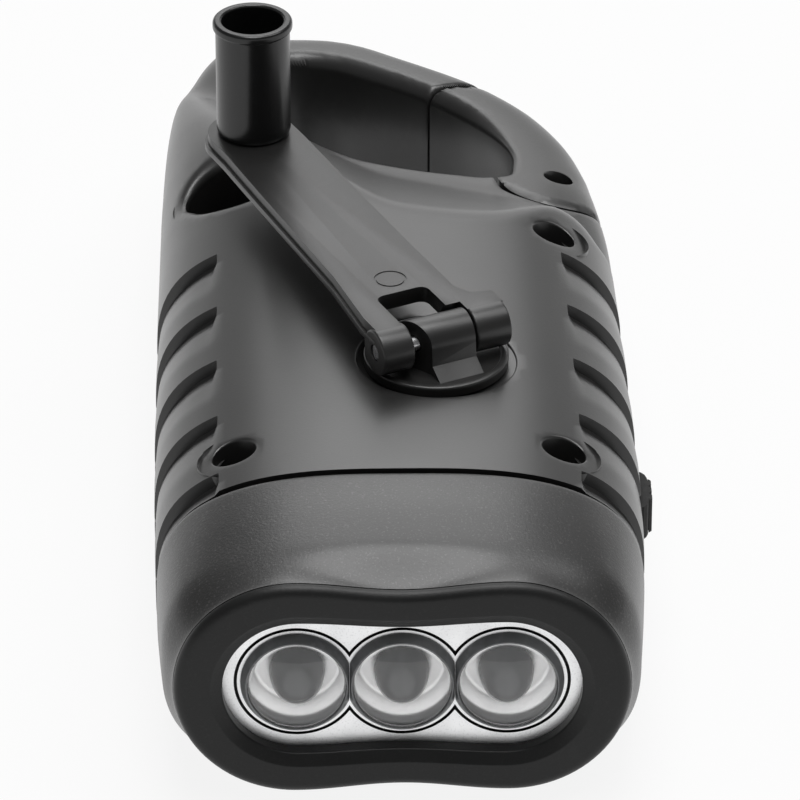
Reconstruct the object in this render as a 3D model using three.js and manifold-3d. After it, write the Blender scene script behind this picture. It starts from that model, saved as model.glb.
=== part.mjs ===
// Hand crank flashlight: a two-shell case with a lamp head, a folding crank and a snap hook.
// Millimetres. X runs across the case, Y from the lamp face to the hook, Z from the solar side up to the crank.
// The origin is on the flat solar side that the flashlight lies on.
import * as THREE from "three";
import { mergeVertices } from "three/addons/utils/BufferGeometryUtils.js";
import Module from "manifold-3d";

const wasm = await Module();
wasm.setup();

// Case
const front_reach = 72.3;
const rear_reach = 67.3;
const half_width = 27.1;
const case_height = 30.5;
const part_line = 14.5;
const wall = 2;
const section_power = 2.9;
const seam_gap = 0.8;
const head_length = 17.2;
const head_wall = 1.8;
const neck_length = 5;
const neck_wall = 1.5;
const fit_gap = 0.3;
const slip = 0.1;
const cut_over = 3;

// Outline of the case, chosen by hand: place along the case as a share of the reach ahead of or behind the
// origin, left and right edge as shares of the half width, top and underside as shares of the height above
// and below the part line, and how square the lower half is. Behind the origin the top is that of the low hook.
const case_outline_shares = [
  [-1, -0.886, 0.886, 0.844, 0.89, 2.4],
  [-0.988, -0.908, 0.908, 0.9, 0.931, 2.5],
  [-0.968, -0.926, 0.926, 0.944, 0.966, 2.6],
  [-0.941, -0.935, 0.935, 0.969, 0.993, 2.8],
  [-0.885, -0.945, 0.945, 0.994, 1.034, 3.3],
  [-0.83, -0.954, 0.956, 1, 1.048, 3.8],
  [-0.751, -0.967, 0.97, 1, 1.048, 4],
  [-0.581, -0.982, 0.985, 1, 1.048, 4],
  [-0.346, -0.993, 0.978, 1, 1.048, 4],
  [-0.083, -0.998, 0.963, 1, 1.048, 4],
  [0, -1, 0.956, 0.488, 1.048, 4],
  [0.104, -1, 0.948, 0.488, 1.048, 4],
  [0.223, -1, 0.937, 0.488, 1.028, 4],
  [0.297, -1, 0.921, 0.488, 1, 3.8],
  [0.357, -1, 0.904, 0.488, 0.966, 3.5],
  [0.401, -0.998, 0.889, 0.481, 0.917, 3.3],
  [0.461, -0.996, 0.867, 0.475, 0.807, 3],
  [0.565, -0.989, 0.801, 0.469, 0.717, 2.9],
  [0.661, -0.974, 0.69, 0.469, 0.683, 2.9],
  [0.728, -0.956, 0.568, 0.469, 0.676, 2.9],
  [0.79, -0.926, 0.417, 0.462, 0.669, 2.9],
  [0.874, -0.882, 0.133, 0.45, 0.662, 2.9],
  [0.932, -0.823, -0.063, 0.419, 0.634, 2.9],
  [0.966, -0.76, -0.24, 0.356, 0.586, 2.9],
  [0.988, -0.686, -0.38, 0.231, 0.414, 2.9],
  [1, -0.609, -0.509, 0.106, 0.207, 2.9],
];
// The slope from the raised case down to the hook, chosen by hand: place across, place along and height of its
// crest, place along of its foot, and how far behind the foot it reaches the part line. Heights are shares of the
// height above the part line.
const slope_shares = [
  [-1.033, 0.357, 1, 0.698, 0.3], [-0.775, 0.357, 1, 0.684, 0.3], [-0.646, 0.342, 1, 0.661, 0.3],
  [-0.554, 0.312, 1, 0.632, 0.3], [-0.435, 0.26, 1, 0.579, 0.25], [-0.295, 0.186, 1, 0.513, 0.15],
  [-0.179, 0.135, 1, 0.461, 0.07], [-0.068, 0.082, 1, 0.425, 0.037], [0.026, 0.055, 1, 0.407, 0.037],
  [0.118, 0.043, 1, 0.394, 0.037], [0.303, 0.034, 0.988, 0.366, 0.037], [0.454, 0.048, 0.956, 0.34, 0.037],
  [0.568, 0.083, 0.913, 0.312, 0.037], [0.635, 0.11, 0.869, 0.291, 0.037], [0.686, 0.123, 0.831, 0.27, 0.037],
  [0.742, 0.123, 0.781, 0.244, 0.037], [0.815, 0.111, 0.688, 0.196, 0.037],
  [0.878, 0.092, 0.562, 0.126, 0.037], [1.015, 0.037, 0.5, 0.059, 0.037],
];
const slope_foot = 21.8;
const slope_extension_share = 0.6;
const hook_start = 3;
const head_stations = [-1, -0.988, -0.968, -0.941, -0.885, -0.83];
const hook_stations = [0.06, 0.11, 0.156, 0.223, 0.297, 0.357, 0.401, 0.461, 0.52, 0.58, 0.66, 0.728, 0.79, 0.84,
  0.89, 0.932, 0.966, 0.988, 1];
// Cavity stations as [share along the case, share of the full height above the part line]
const cavity_shares = [[-0.6, 1], [-0.3, 1], [0.01, 1], [0.14, 0.79], [0.252, 0.62]];
const section_points = 32;
const cavity_points = 16;

// Grip ribs: each is a step across the side, with a scoop in front of it
const rib_count = 5;
const rib_pitch = 12;
const first_rib = 50.6;
const rib_depth = 1.25;
const rib_edge = 0.3;
const rib_middle = 3.6;
const rib_reach = 8;
const rib_middle_share = 0.42;
// Depth at even steps in degrees round the section, from the part line up
const rib_share_step = 10;
const rib_depth_shares = [0.22, 0.32, 0.6, 0.95, 0.95, 0];

// Hook opening, split and gate
const hook_opening_shares = [
  [0.513, 0.385], [0.417, 0.373], [0.277, 0.388], [0.052, 0.422], [-0.15, 0.461], [-0.336, 0.516], [-0.472, 0.6],
  [-0.575, 0.69], [-0.613, 0.765], [-0.553, 0.832], [-0.417, 0.862], [-0.258, 0.848], [-0.114, 0.813],
  [0.14, 0.733], [0.336, 0.65], [0.465, 0.557], [0.531, 0.476], [0.531, 0.42],
];
const opening_segments = 40;
const pivot_inset = 7.3;
const pivot_y = 26.5;
const heel_radius = 7.4;
const heel_gap = 0.45;
const split_radius = 26.4;
const split_gap = 0.35;
const gate_pin_radius = 1.5;
const gate_hole_radius = 1.7;
const gate_pin_recess = 1.2;
const gate_slot_low = 10.6;
const gate_slot_high = 18.2;
const gate_swing = 20;
const tongue_radius = 3.3;
const tongue_low = 10.9;
const tongue_neck_width = 5;
const tongue_neck_length = 11;
const tongue_neck_turn = -118;
const spring_radius = 2.6;
const spring_wire = 0.5;
const spring_turns = 3;
const spring_pitch = 0.8;

// Lamp face
const lamp_height = 14.65;
const bezel_centre = 11.3;
const bezel_radius = 12.8;
const bezel_waist = 0.85;
const bezel_stand = 1.2;
const bezel_bevel = 0.55;
const bezel_skirt_inset = 1;
const bezel_skirt_length = 2.7;
const mouth_centre = 10.9;
const mouth_radius = 8.05;
const mouth_waist = 0.5;
const mouth_flare = 1.3;
const mouth_flare_depth = 0.7;
const lens_pitch = 11.1;
const lens_count = 3;
const plate_radius = 9;
const plate_recess = 2.2;
const plate_thickness = 0.8;
const lens_radius = 5.45;
const lens_flange = 0.7;
const dome_radius = 4.7;
const dome_rise = 2.3;
const dome_rings = 4;
const cup_front_radius = 4.75;
const cup_rear_radius = 2.8;
const cup_wall = 0.7;
const cup_depth = 3.3;
const led_radius = 2.45;
const led_length = 3.4;
const led_collar = 0.25;
const led_collar_length = 0.9;
const led_board_thickness = 1.4;
const led_board_half_width = 16.8;
const led_board_height = 11;

// Crank: the hub, the hinged arm and the knob
const hub_x = 4.3;
const hub_y = -30.6;
const crank_turn_angle = 25.8;
const hub_radius = 8;
const hub_edge = 0.35;
const hub_recess_radius = 8.75;
const hub_recess_depth = 0.9;
const hub_disc_rise = 0.6;
const hub_shaft_radius = 3;
const hub_bearing_length = 4.1;
const hub_bearing_wall = 2;
const hub_spigot_radius = 2;
const hinge_offset = 1.5;
const hinge_rise = 3.3;
const barrel_radius = 2.6;
const barrel_left = 8.3;
const barrel_right = 7.3;
const lug_left = 4.25;
const lug_right = 2.75;
const lug_gap = 0.3;
const lug_foot = 4.6;
const lug_foot_height = 1.4;
const lug_foot_top = 2.2;
const lug_back = 2.5;
const hinge_pin_radius = 0.9;
const hinge_pin_inset = 0.15;
const arm_length = 47.8;
const arm_thickness = 1.9;
const arm_lip_height = 0.7;
const arm_lip = 0.35;
const arm_end_radius = 5.3;
const arm_end_offset = 0.35;
// Edges of the arm as [reach across, reach along], both shares of the arm's length
const arm_left_shares = [[-0.174, 0], [-0.174, 0.07], [-0.151, 0.272], [-0.13, 0.711], [-0.119, 0.92]];
const arm_right_shares = [[0.104, 0.92], [0.096, 0.6], [0.092, 0.347], [0.092, 0.11], [0.113, 0.068], [0.161, 0.052],
  [0.161, 0]];
const window_left = 4.9;
const window_right = 1.3;
const window_far = 6.8;
const window_corner = 2.2;
const eject_mark_radius = 1.7;
const eject_mark_depth = 0.15;
const eject_mark_x = -1.5;
const eject_mark_y = 9.8;
const knob_radius = 4.25;
const knob_height = 14.3;
const knob_flange = 0.3;
const knob_flange_height = 1.2;
const knob_edge = 0.3;
const knob_bore_radius = 3.4;
const knob_floor = 2;
const knob_pin_radius = 1.2;
const knob_pin_head = 2.4;
const knob_pin_head_height = 1;
const knob_pin_tail = 2.1;
const knob_pin_tail_height = 0.5;

// Socket that the knob folds into
const socket_turn = 27;
const socket_radius = 4.75;
const socket_slot = 2;
const socket_wall = 1.1;
const socket_floor = 1.6;
const socket_screw_sink = 0.8;

// Gear train from the hub to the dynamo
const gear_module = 0.8;
const drive_teeth = 36;
const pinion_teeth = 9;
const first_teeth = 34;
const second_teeth = 26;
const addendum_share = 0.92;
const dedendum_share = 1.15;
const root_width_share = 0.66;
const pitch_width_share = 0.42;
const tip_width_share = 0.16;
const pinion_tip_width_share = 0.2;
const pinion_root_width_share = 0.56;
const first_turn = 126.87;
const second_turn = 8;
const rotor_turn = -140;
const drive_gear_low = 21.5;
const drive_gear_thickness = 3;
const first_gear_low = 17.8;
const first_gear_thickness = 2.5;
const second_gear_low = 14.1;
const second_gear_thickness = 2.4;
const pinion_margin = 0.3;
const axle_radius = 0.75;
const axle_boss_radius = 2.2;
const axle_boss_low = 25.3;
const axle_seat = 1.6;
const hub_screw_radius = 0.9;
const hub_screw_length = 5;
const hub_screw_head = 2.7;
const hub_screw_head_height = 0.9;
const hub_screw_gap = 0.1;

// Gearbox plate on four posts
const gear_plate_low = 12.2;
const gear_plate_thickness = 1.2;
const gear_plate_corner = 3.5;
const post_radius = 2.3;
const post_screw_radius = 0.7;
const post_screw_head = 1.5;
const post_screw_head_height = 0.6;
const post_screw_length = 6;
const post_places = [[-17, -12], [17, -12], [16.4, -30], [-14.6, -37.4]];

// Dynamo
const magnet_radius = 7.6;
const magnet_low = 4.4;
const magnet_height = 6.6;
const rotor_shaft_radius = 0.75;
const coil_inner_radius = 8.3;
const coil_outer_radius = 10.9;
const coil_margin = 0.8;
const stator_radius = 12.5;
const stator_wall = 1.3;
const stator_low = 3.4;
const stator_height = 8.4;
const rotor_boss_radius = 2;
const rotor_boss_rise = 0.7;

// Battery of three button cells between two tabs
const cell_radius = 5.8;
const cell_length = 5.3;
const cell_count = 3;
const cell_gap = 0.1;
const cell_y = -47.6;
const cell_height = 9.1;
const tab_thickness = 0.4;
const tab_half_width = 3;
const cradle_thickness = 1.2;
const cradle_half_width = 3.6;

// Main board
const board_left = -7;
const board_right = 14;
const board_near = 2;
const board_far = 15;
const board_low = 7.6;
const board_thickness = 1.4;
const board_post_radius = 1.6;
const board_post_inset = 2;
const capacitor_radius = 2.5;
const capacitor_height = 6;
const capacitor_x = 9;
const capacitor_y = 9.5;
const chip_x = 0.5;
const chip_y = 9;
const chip_width = 5;
const chip_depth = 4;
const chip_height = 1.6;

// Slide switch on the right side
const switch_y = -36.2;
const switch_travel = 3;
const button_length = 8;
const button_height = 4.2;
const button_depth = 2.1;
const button_round_share = 0.3;
const ridge_count = 3;
const ridge_rise = 0.35;
const ridge_pitch = 1.5;
const pocket_depth = 1.6;
const pocket_margin = 0.7;
const stem_length = 3;
const stem_height = 1.8;
const switch_box_inset = 1.45;
const switch_box_depth = 4.7;
const switch_box_length = 8;
const switch_box_height = 6;
const switch_box_slot = 2.4;

// Solar panel in the underside
const solar_half_width = 16;
const solar_near = -50;
const solar_far = -6;
const solar_pocket = 1.9;
const solar_pad_rise = 1;
const solar_pad_margin = 1.6;
const window_recess = 0.2;
const window_thickness = 1;
const cell_sheet_thickness = 0.5;
const solar_wire_x = 13;
const solar_wire_y = -8;
const solar_wire_hole = 1;

// Case screws
const case_screw_places = [[-17.7, -47.4], [17.7, -47.4], [18.3, 1.4]];
const screw_hole_radius = 2.35;
const screw_boss_radius = 3.2;
const screw_seat = 17.4;
const screw_head_radius = 2.05;
const screw_head_height = 1.5;
const screw_shank_radius = 1.1;
const screw_shank_length = 11;
const lower_boss_radius = 3;

// Leads inside the case
const lead_radius = 0.5;
const lead_sides = 6;
const led_lead_points = [[-6, -65.3, 17], [-8, -60, 17.5], [-11, -54.5, 16.6], [-12.4, -48.5, 16.4],
  [-13.6, -44.2, 16], [-17, -41.2, 15.4], [-20.8, -35.5, 14], [-22.4, -25, 12.6], [-22.2, -12, 12.4], [-15.5, 1.5, 11.4], [-7.4, 6, 9]];
const battery_lead_points = [[-8.9, -47.6, 11.2], [-11, -46.6, 11.6], [-15.5, -42.5, 10.4], [-20, -36.5, 8.8],
  [-21.8, -25, 8.4], [-21.6, -12, 8.4], [-15, 4, 8.6], [-7.4, 11, 8.4]];
const dynamo_lead_points = [[12.7, -22.6, 8], [13.3, -18, 6.4], [12.6, -10, 5.6], [12, -3, 6.2], [12, 1.6, 8.2]];
const solar_lead_points = [[13, -8, 2.1], [13, -7.9, 3.4], [10, -5.5, 5], [6.5, -2, 7], [5.6, 1.6, 8.3]];
const lead_steps = 16;

const small_sides = 12;
const round_sides = 24;
const wide_sides = 40;
const merge_distance = 1e-4;

const radians = THREE.MathUtils.degToRad;

// Solids

function solidOf(geometry) {
  const plain = geometry.index ? geometry.toNonIndexed() : geometry.clone();
  plain.deleteAttribute("normal");
  plain.deleteAttribute("uv");
  const merged = mergeVertices(plain, merge_distance);
  const mesh = new wasm.Mesh({
    numProp: 3,
    vertProperties: merged.attributes.position.array,
    triVerts: new Uint32Array(merged.index.array),
  });
  return new wasm.Manifold(mesh);
}

function geometryOf(solid) {
  const mesh = solid.getMesh();
  const geometry = new THREE.BufferGeometry();
  geometry.setAttribute("position", new THREE.BufferAttribute(mesh.vertProperties, mesh.numProp));
  geometry.setIndex(new THREE.BufferAttribute(mesh.triVerts, 1));
  geometry.computeVertexNormals();
  return geometry;
}

function join(first, ...others) {
  return others.reduce((sum, other) => sum.add(other), first);
}

function cut(first, ...others) {
  return others.reduce((rest, other) => rest.subtract(other), first);
}

// An upright prism over a plan outline
function prism(shape, low, high, curveSegments = small_sides) {
  const geometry = new THREE.ExtrudeGeometry(shape, { depth: high - low, bevelEnabled: false, curveSegments });
  return solidOf(geometry.translate(0, 0, low));
}

function block(left, right, near, far, low, high) {
  const geometry = new THREE.BoxGeometry(right - left, far - near, high - low);
  return solidOf(geometry.translate((left + right) / 2, (near + far) / 2, (low + high) / 2));
}

function column(radius, low, high, x = 0, y = 0, sides = small_sides) {
  const geometry = new THREE.CylinderGeometry(radius, radius, high - low, sides).rotateX(Math.PI / 2);
  return solidOf(geometry.translate(x, y, (low + high) / 2));
}

// A rod along X
function rod(radius, left, right, y, z, sides = small_sides) {
  const geometry = new THREE.CylinderGeometry(radius, radius, right - left, sides).rotateZ(Math.PI / 2);
  return solidOf(geometry.translate((left + right) / 2, y, z));
}

// A turned solid about an upright axis, from a closed profile of [radius, height]
function turned(profile, sides = round_sides) {
  const area = profile.reduce((sum, [r, z], i) => {
    const [nextR, nextZ] = profile[(i + 1) % profile.length];
    return sum + r * nextZ - nextR * z;
  }, 0);
  const ordered = area > 0 ? profile : [...profile].reverse();
  const points = [...ordered, ordered[0]].map(([r, z]) => new THREE.Vector2(r, z));
  return solidOf(new THREE.LatheGeometry(points, sides).rotateX(Math.PI / 2));
}

// A turned solid whose axis runs forwards along Y; the profile gives [radius, distance along Y]
function turnedForward(profile, x, z, sides = round_sides) {
  return turned(profile, sides).rotate([-90, 0, 0]).translate([x, 0, z]);
}

// Triangles over a flat ring, facing along or against a direction
function capOf(ring, start, direction) {
  const size = new THREE.Box3().setFromPoints(ring).getSize(new THREE.Vector3());
  const flat = size.x < size.y ? ["y", "z"] : ["x", "z"];
  const contour = ring.map((point) => new THREE.Vector2(point[flat[0]], point[flat[1]]));
  return THREE.ShapeUtils.triangulateShape(contour, []).flatMap(([a, b, c]) => {
    const normal = ring[b].clone().sub(ring[a]).cross(ring[c].clone().sub(ring[a]));
    return normal.dot(direction) > 0 ? [start + a, start + b, start + c] : [start + a, start + c, start + b];
  });
}

// A closed skin through flat rings of points, each ring running the same way round
function loft(rings) {
  const count = rings[0].length;
  const positions = rings.flat().flatMap((point) => [point.x, point.y, point.z]);
  const index = [];
  for (let ring = 0; ring + 1 < rings.length; ring++) {
    for (let i = 0; i < count; i++) {
      const next = (i + 1) % count;
      const a = ring * count + i;
      const b = ring * count + next;
      index.push(a, b + count, b, a, a + count, b + count);
    }
  }
  const first = rings[0];
  const last = rings[rings.length - 1];
  index.push(...capOf(first, 0, first[0].clone().sub(rings[1][0])));
  index.push(...capOf(last, (rings.length - 1) * count, last[0].clone().sub(rings[rings.length - 2][0])));
  const geometry = new THREE.BufferGeometry();
  geometry.setAttribute("position", new THREE.Float32BufferAttribute(positions, 3));
  geometry.setIndex(index);
  return solidOf(geometry);
}

function boxAll(low, high) {
  const reach = front_reach + rear_reach;
  return block(-reach, reach, -reach, reach, low, high);
}

function polygonShape(points) {
  return new THREE.Shape(points.map(([x, y]) => new THREE.Vector2(x, y)));
}

// Case form

// A smooth reading of the outline table at a share along the case
function outlineAt(share) {
  const rows = case_outline_shares;
  let i = rows.findIndex((row) => row[0] >= share);
  i = Math.min(Math.max(i, 1), rows.length - 1);
  const before = rows[Math.max(i - 2, 0)];
  const from = rows[i - 1];
  const to = rows[i];
  const after = rows[Math.min(i + 1, rows.length - 1)];
  const span = to[0] - from[0];
  const t = (share - from[0]) / span;
  const read = (column) => {
    const startSlope = before === from ? (to[column] - from[column]) / span
      : (to[column] - before[column]) / (to[0] - before[0]);
    const endSlope = after === to ? (to[column] - from[column]) / span
      : (after[column] - from[column]) / (after[0] - from[0]);
    const bend = t * t * (3 - 2 * t);
    const rise = t * (1 - t) * (1 - t) * span * startSlope - t * t * (1 - t) * span * endSlope;
    return from[column] + (to[column] - from[column]) * bend + rise;
  };
  return { left: read(1), right: read(2), top: read(3), under: read(4), power: read(5) };
}

function placeOf(share) {
  return share < 0 ? share * front_reach : share * rear_reach;
}

function shareOf(y) {
  return y < 0 ? y / front_reach : y / rear_reach;
}

// How deep the scoop ahead of a rib is at a place along the case
function scoopDepth(y) {
  for (let rib = 0; rib < rib_count; rib++) {
    const ahead = -first_rib + rib * rib_pitch - y;
    if (ahead > 0 && ahead <= rib_edge) return (rib_depth * ahead) / rib_edge;
    if (ahead > rib_edge && ahead <= rib_middle) {
      const t = (ahead - rib_edge) / (rib_middle - rib_edge);
      return rib_depth * (1 - t * (1 - rib_middle_share));
    }
    if (ahead > rib_middle && ahead < rib_reach) {
      return (rib_depth * rib_middle_share * (rib_reach - ahead)) / (rib_reach - rib_middle);
    }
  }
  return 0;
}

function ribShare(degrees) {
  const fromSide = Math.min(Math.abs(degrees), Math.abs(180 - Math.abs(degrees)));
  const step = fromSide / rib_share_step;
  const low = Math.floor(step);
  if (low + 1 >= rib_depth_shares.length) return 0;
  return rib_depth_shares[low] + (rib_depth_shares[low + 1] - rib_depth_shares[low]) * (step - low);
}

// One cross-section of the case, set in by an inset, as a ring that runs round Y
function caseRing(y, inset, count, topShare, ribs = false) {
  const outline = outlineAt(shareOf(y));
  const middle = ((outline.left + outline.right) / 2) * half_width;
  const across = ((outline.right - outline.left) / 2) * half_width - inset;
  const above = (topShare ?? outline.top) * (case_height - part_line) - inset;
  const below = outline.under * part_line - inset;
  const ring = [];
  for (let i = 0; i < count; i++) {
    const turn = (2 * Math.PI * i) / count;
    const c = Math.cos(turn);
    const s = Math.sin(turn);
    const power = s < 0 ? outline.power : section_power;
    const reach = Math.abs(c) ** (2 / power) * Math.sign(c);
    const rise = Math.abs(s) ** (2 / power) * Math.sign(s);
    const degrees = THREE.MathUtils.radToDeg(turn > Math.PI ? turn - 2 * Math.PI : turn);
    const scoop = ribs ? scoopDepth(y) * ribShare(degrees) : 0;
    const x = across * reach - scoop * c;
    const z = (rise > 0 ? above : below) * rise - scoop * s;
    ring.push(new THREE.Vector3(middle + x, y, Math.max(part_line + z, inset)));
  }
  return ring;
}

const headRear = -front_reach + head_length;
const bodyFront = headRear + seam_gap;

function ribStations() {
  const stations = [];
  for (let rib = 0; rib < rib_count; rib++) {
    const edge = -first_rib + rib * rib_pitch;
    stations.push(edge - rib_reach, edge - rib_middle, edge - rib_edge, edge);
  }
  return stations.filter((y) => y > bodyFront);
}

const hookPlaces = hook_stations.map(placeOf);
const bodyStations = [bodyFront, ...ribStations(), hook_start, ...hookPlaces];
const raisedBody = loft(bodyStations.map((y) => caseRing(y, 0, section_points, 1, true)));
const lowHook = loft([hook_start, ...hookPlaces].map((y) => caseRing(y, 0, section_points)));

// What is taken off the raised case: above the slope, and everything above the part line behind its foot
const slopeCut = loft([...slope_shares].reverse().map(([across, crest, height, foot, tail]) => {
  const x = across * half_width;
  const crestY = crest * rear_reach;
  const footY = foot * rear_reach;
  const crestZ = part_line + height * (case_height - part_line);
  const frontY = crestY - (footY - crestY) * slope_extension_share;
  const frontZ = crestZ + (crestZ - slope_foot) * slope_extension_share;
  const rear = rear_reach + cut_over;
  const top = 2 * case_height;
  return [[rear, part_line], [rear, top], [frontY, top], [frontY, frontZ], [footY, slope_foot],
    [footY + tail * rear_reach, part_line]].map(([y, z]) => new THREE.Vector3(x, y, z));
}));
const bodySolid = join(cut(raisedBody, slopeCut), lowHook.intersect(boxAll(part_line, case_height)));

const neckInset = head_wall + fit_gap;
const neckFront = headRear - neck_length;
const neckSolid = loft([neckFront, bodyFront + wall].map((y) => caseRing(y, neckInset, section_points, 1)));

const throatInset = neckInset + neck_wall;
const throatSolid = loft(
  [neckFront - cut_over, bodyFront + wall].map((y) => caseRing(y, throatInset, cavity_points, 1)),
);
const cavitySections = [[bodyFront + wall, 1], ...cavity_shares.map(([share, top]) => [placeOf(share), top])];
const cavitySolid = loft(cavitySections.map(([y, top]) => caseRing(y, wall, cavity_points, top)));

// Hook opening and gate in plan

const pivotX = half_width - pivot_inset;

function openingShape() {
  const points = hook_opening_shares.map(
    ([across, along]) => new THREE.Vector3(across * half_width, along * rear_reach, 0),
  );
  const curve = new THREE.CatmullRomCurve3(points, true, "centripetal");
  return new THREE.Shape(curve.getPoints(opening_segments).slice(0, -1).map((p) => new THREE.Vector2(p.x, p.y)));
}

const openingSolid = prism(openingShape(), -cut_over, case_height + cut_over);

// The stretch of the hook that swings: a round heel about the pivot, out past the case, and an end
// that is an arc about the same pivot, so it swings clear of the fixed part
function gateZone(heel, split) {
  const shape = new THREE.Shape();
  const heelStart = radians(175);
  const heelEnd = radians(335);
  const splitStart = radians(84);
  const splitEnd = radians(146);
  shape.moveTo(pivotX + heel * Math.cos(heelStart), pivot_y + heel * Math.sin(heelStart));
  shape.absarc(pivotX, pivot_y, heel, heelStart, heelEnd, false);
  shape.lineTo(half_width + cut_over, pivot_y + heel * Math.sin(heelEnd));
  shape.lineTo(pivotX + split * Math.cos(splitStart), pivot_y + split * Math.sin(splitStart));
  shape.absarc(pivotX, pivot_y, split, splitStart, splitEnd, false);
  shape.closePath();
  return shape;
}

const pocketZone = prism(gateZone(heel_radius + heel_gap, split_radius + split_gap / 2), -cut_over,
  case_height + cut_over, round_sides);
const gateZoneSolid = prism(gateZone(heel_radius, split_radius - split_gap / 2), -cut_over,
  case_height + cut_over, round_sides);

// Crank geometry shared by the case, the hub and the arm

const crankTurn = radians(crank_turn_angle);
const armDirection = new THREE.Vector2(-Math.sin(crankTurn), Math.cos(crankTurn));
const hingeX = hub_x - hinge_offset * armDirection.x;
const hingeY = hub_y - hinge_offset * armDirection.y;
const recessFloor = case_height - hub_recess_depth;
const discTop = case_height + hub_disc_rise;
const discBottom = recessFloor + fit_gap;
const bearingLow = recessFloor - hub_bearing_length;
const hingeHeight = case_height + hinge_rise;
const armTop = hingeHeight + barrel_radius;
const armUnder = armTop - arm_thickness;

// The folded knob lies as far from the hub as the hinge offset and the arm together reach
const foldedReach = arm_length + hinge_offset;
const socketDirection = new THREE.Vector2(-Math.sin(radians(socket_turn)), Math.cos(radians(socket_turn)));
const socketX = hub_x + foldedReach * socketDirection.x;
const socketY = hub_y + foldedReach * socketDirection.y;
const foldedKnobTip = 2 * hingeHeight - armTop - fit_gap - knob_height;
const socketFloorTop = foldedKnobTip - fit_gap;

// A slot outline that starts round the folded knob and runs outwards
function slotShape(radius) {
  const shape = new THREE.Shape();
  const turn = radians(socket_turn);
  const farX = socketX + socket_slot * socketDirection.x;
  const farY = socketY + socket_slot * socketDirection.y;
  shape.absarc(socketX, socketY, radius, turn + Math.PI, turn + 2 * Math.PI, false);
  shape.absarc(farX, farY, radius, turn, turn + Math.PI, false);
  shape.closePath();
  return shape;
}

// Gear train places

const pitchRadius = (teeth) => (gear_module * teeth) / 2;

function stepFrom(place, teeth, otherTeeth, turn) {
  const distance = pitchRadius(teeth) + pitchRadius(otherTeeth);
  return [place[0] + distance * Math.cos(radians(turn)), place[1] + distance * Math.sin(radians(turn))];
}

const hubPlace = [hub_x, hub_y];
const firstPlace = stepFrom(hubPlace, drive_teeth, pinion_teeth, first_turn);
const secondPlace = stepFrom(firstPlace, first_teeth, pinion_teeth, second_turn);
const rotorPlace = stepFrom(secondPlace, second_teeth, pinion_teeth, rotor_turn);
const gearPlateTop = gear_plate_low + gear_plate_thickness;

// Crank side shell

const socketPlace = [socketX, socketY];
const socketScrewSeat = socketFloorTop - socket_screw_sink;

function screwBosses(radius, low, high) {
  return case_screw_places.map(([x, y]) => column(radius, low, high, x, y, small_sides));
}

const pocketFloor = half_width - pocket_depth;
const pocketNear = switch_y - button_length / 2 - switch_travel - pocket_margin;
const pocketFar = switch_y + button_length / 2 + pocket_margin;
const pocketHalfHeight = button_height / 2 + pocket_margin;
const switchPocket = block(pocketFloor, half_width + cut_over, pocketNear, pocketFar,
  part_line - pocketHalfHeight, part_line + pocketHalfHeight);
const stemNear = switch_y - stem_length / 2;
const stemFar = switch_y + stem_length / 2;
const switchSlot = block(pocketFloor - wall, half_width, stemNear - switch_travel - fit_gap, stemFar + fit_gap,
  part_line - stem_height / 2 - fit_gap, part_line + stem_height / 2 + fit_gap);

const hollowBody = cut(join(bodySolid, neckSolid), cavitySolid, throatSolid, openingSolid, pocketZone,
  switchPocket, switchSlot);
const innerSkin = loft(
  [[bodyFront, 1], ...cavitySections].map(([y, top]) => caseRing(y, wall / 2, cavity_points, top)),
);

function crankSideShell() {
  const bosses = join(
    column(hub_shaft_radius + hub_bearing_wall, bearingLow, recessFloor, hub_x, hub_y, round_sides),
    column(axle_boss_radius, axle_boss_low, case_height, ...firstPlace),
    column(axle_boss_radius, axle_boss_low, case_height, ...secondPlace),
    ...screwBosses(screw_boss_radius, part_line + fit_gap, case_height),
  ).intersect(innerSkin);
  const socketTube = prism(slotShape(socket_radius + socket_wall), socketFloorTop - socket_floor, case_height)
    .intersect(bodySolid);
  const shell = join(hollowBody.intersect(boxAll(part_line, case_height + cut_over)), bosses, socketTube);
  const axleTop = axle_boss_low + axle_seat;
  return cut(
    shell,
    prism(slotShape(socket_radius), socketFloorTop, case_height + cut_over),
    column(hub_recess_radius, recessFloor, case_height + cut_over, hub_x, hub_y, wide_sides),
    column(hub_shaft_radius + slip, bearingLow - cut_over, case_height, hub_x, hub_y, round_sides),
    column(axle_radius + slip / 2, axle_boss_low - cut_over, axleTop + slip, ...firstPlace),
    column(axle_radius + slip / 2, axle_boss_low - cut_over, axleTop + slip, ...secondPlace),
    ...screwBosses(screw_hole_radius, screw_seat, case_height + cut_over),
    ...screwBosses(screw_shank_radius + slip, part_line - cut_over, screw_seat + slip),
    column(screw_hole_radius, socketScrewSeat, case_height, ...socketPlace),
    column(screw_shank_radius + slip, part_line - cut_over, case_height, ...socketPlace),
  );
}

// Solar side shell

const boardPosts = [board_left + board_post_inset, board_right - board_post_inset].flatMap((x) =>
  [board_near + board_post_inset, board_far - board_post_inset].map((y) => [x, y]));
const packHalf = (cell_count * cell_length) / 2 + cell_gap + tab_thickness + cell_gap;

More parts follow.
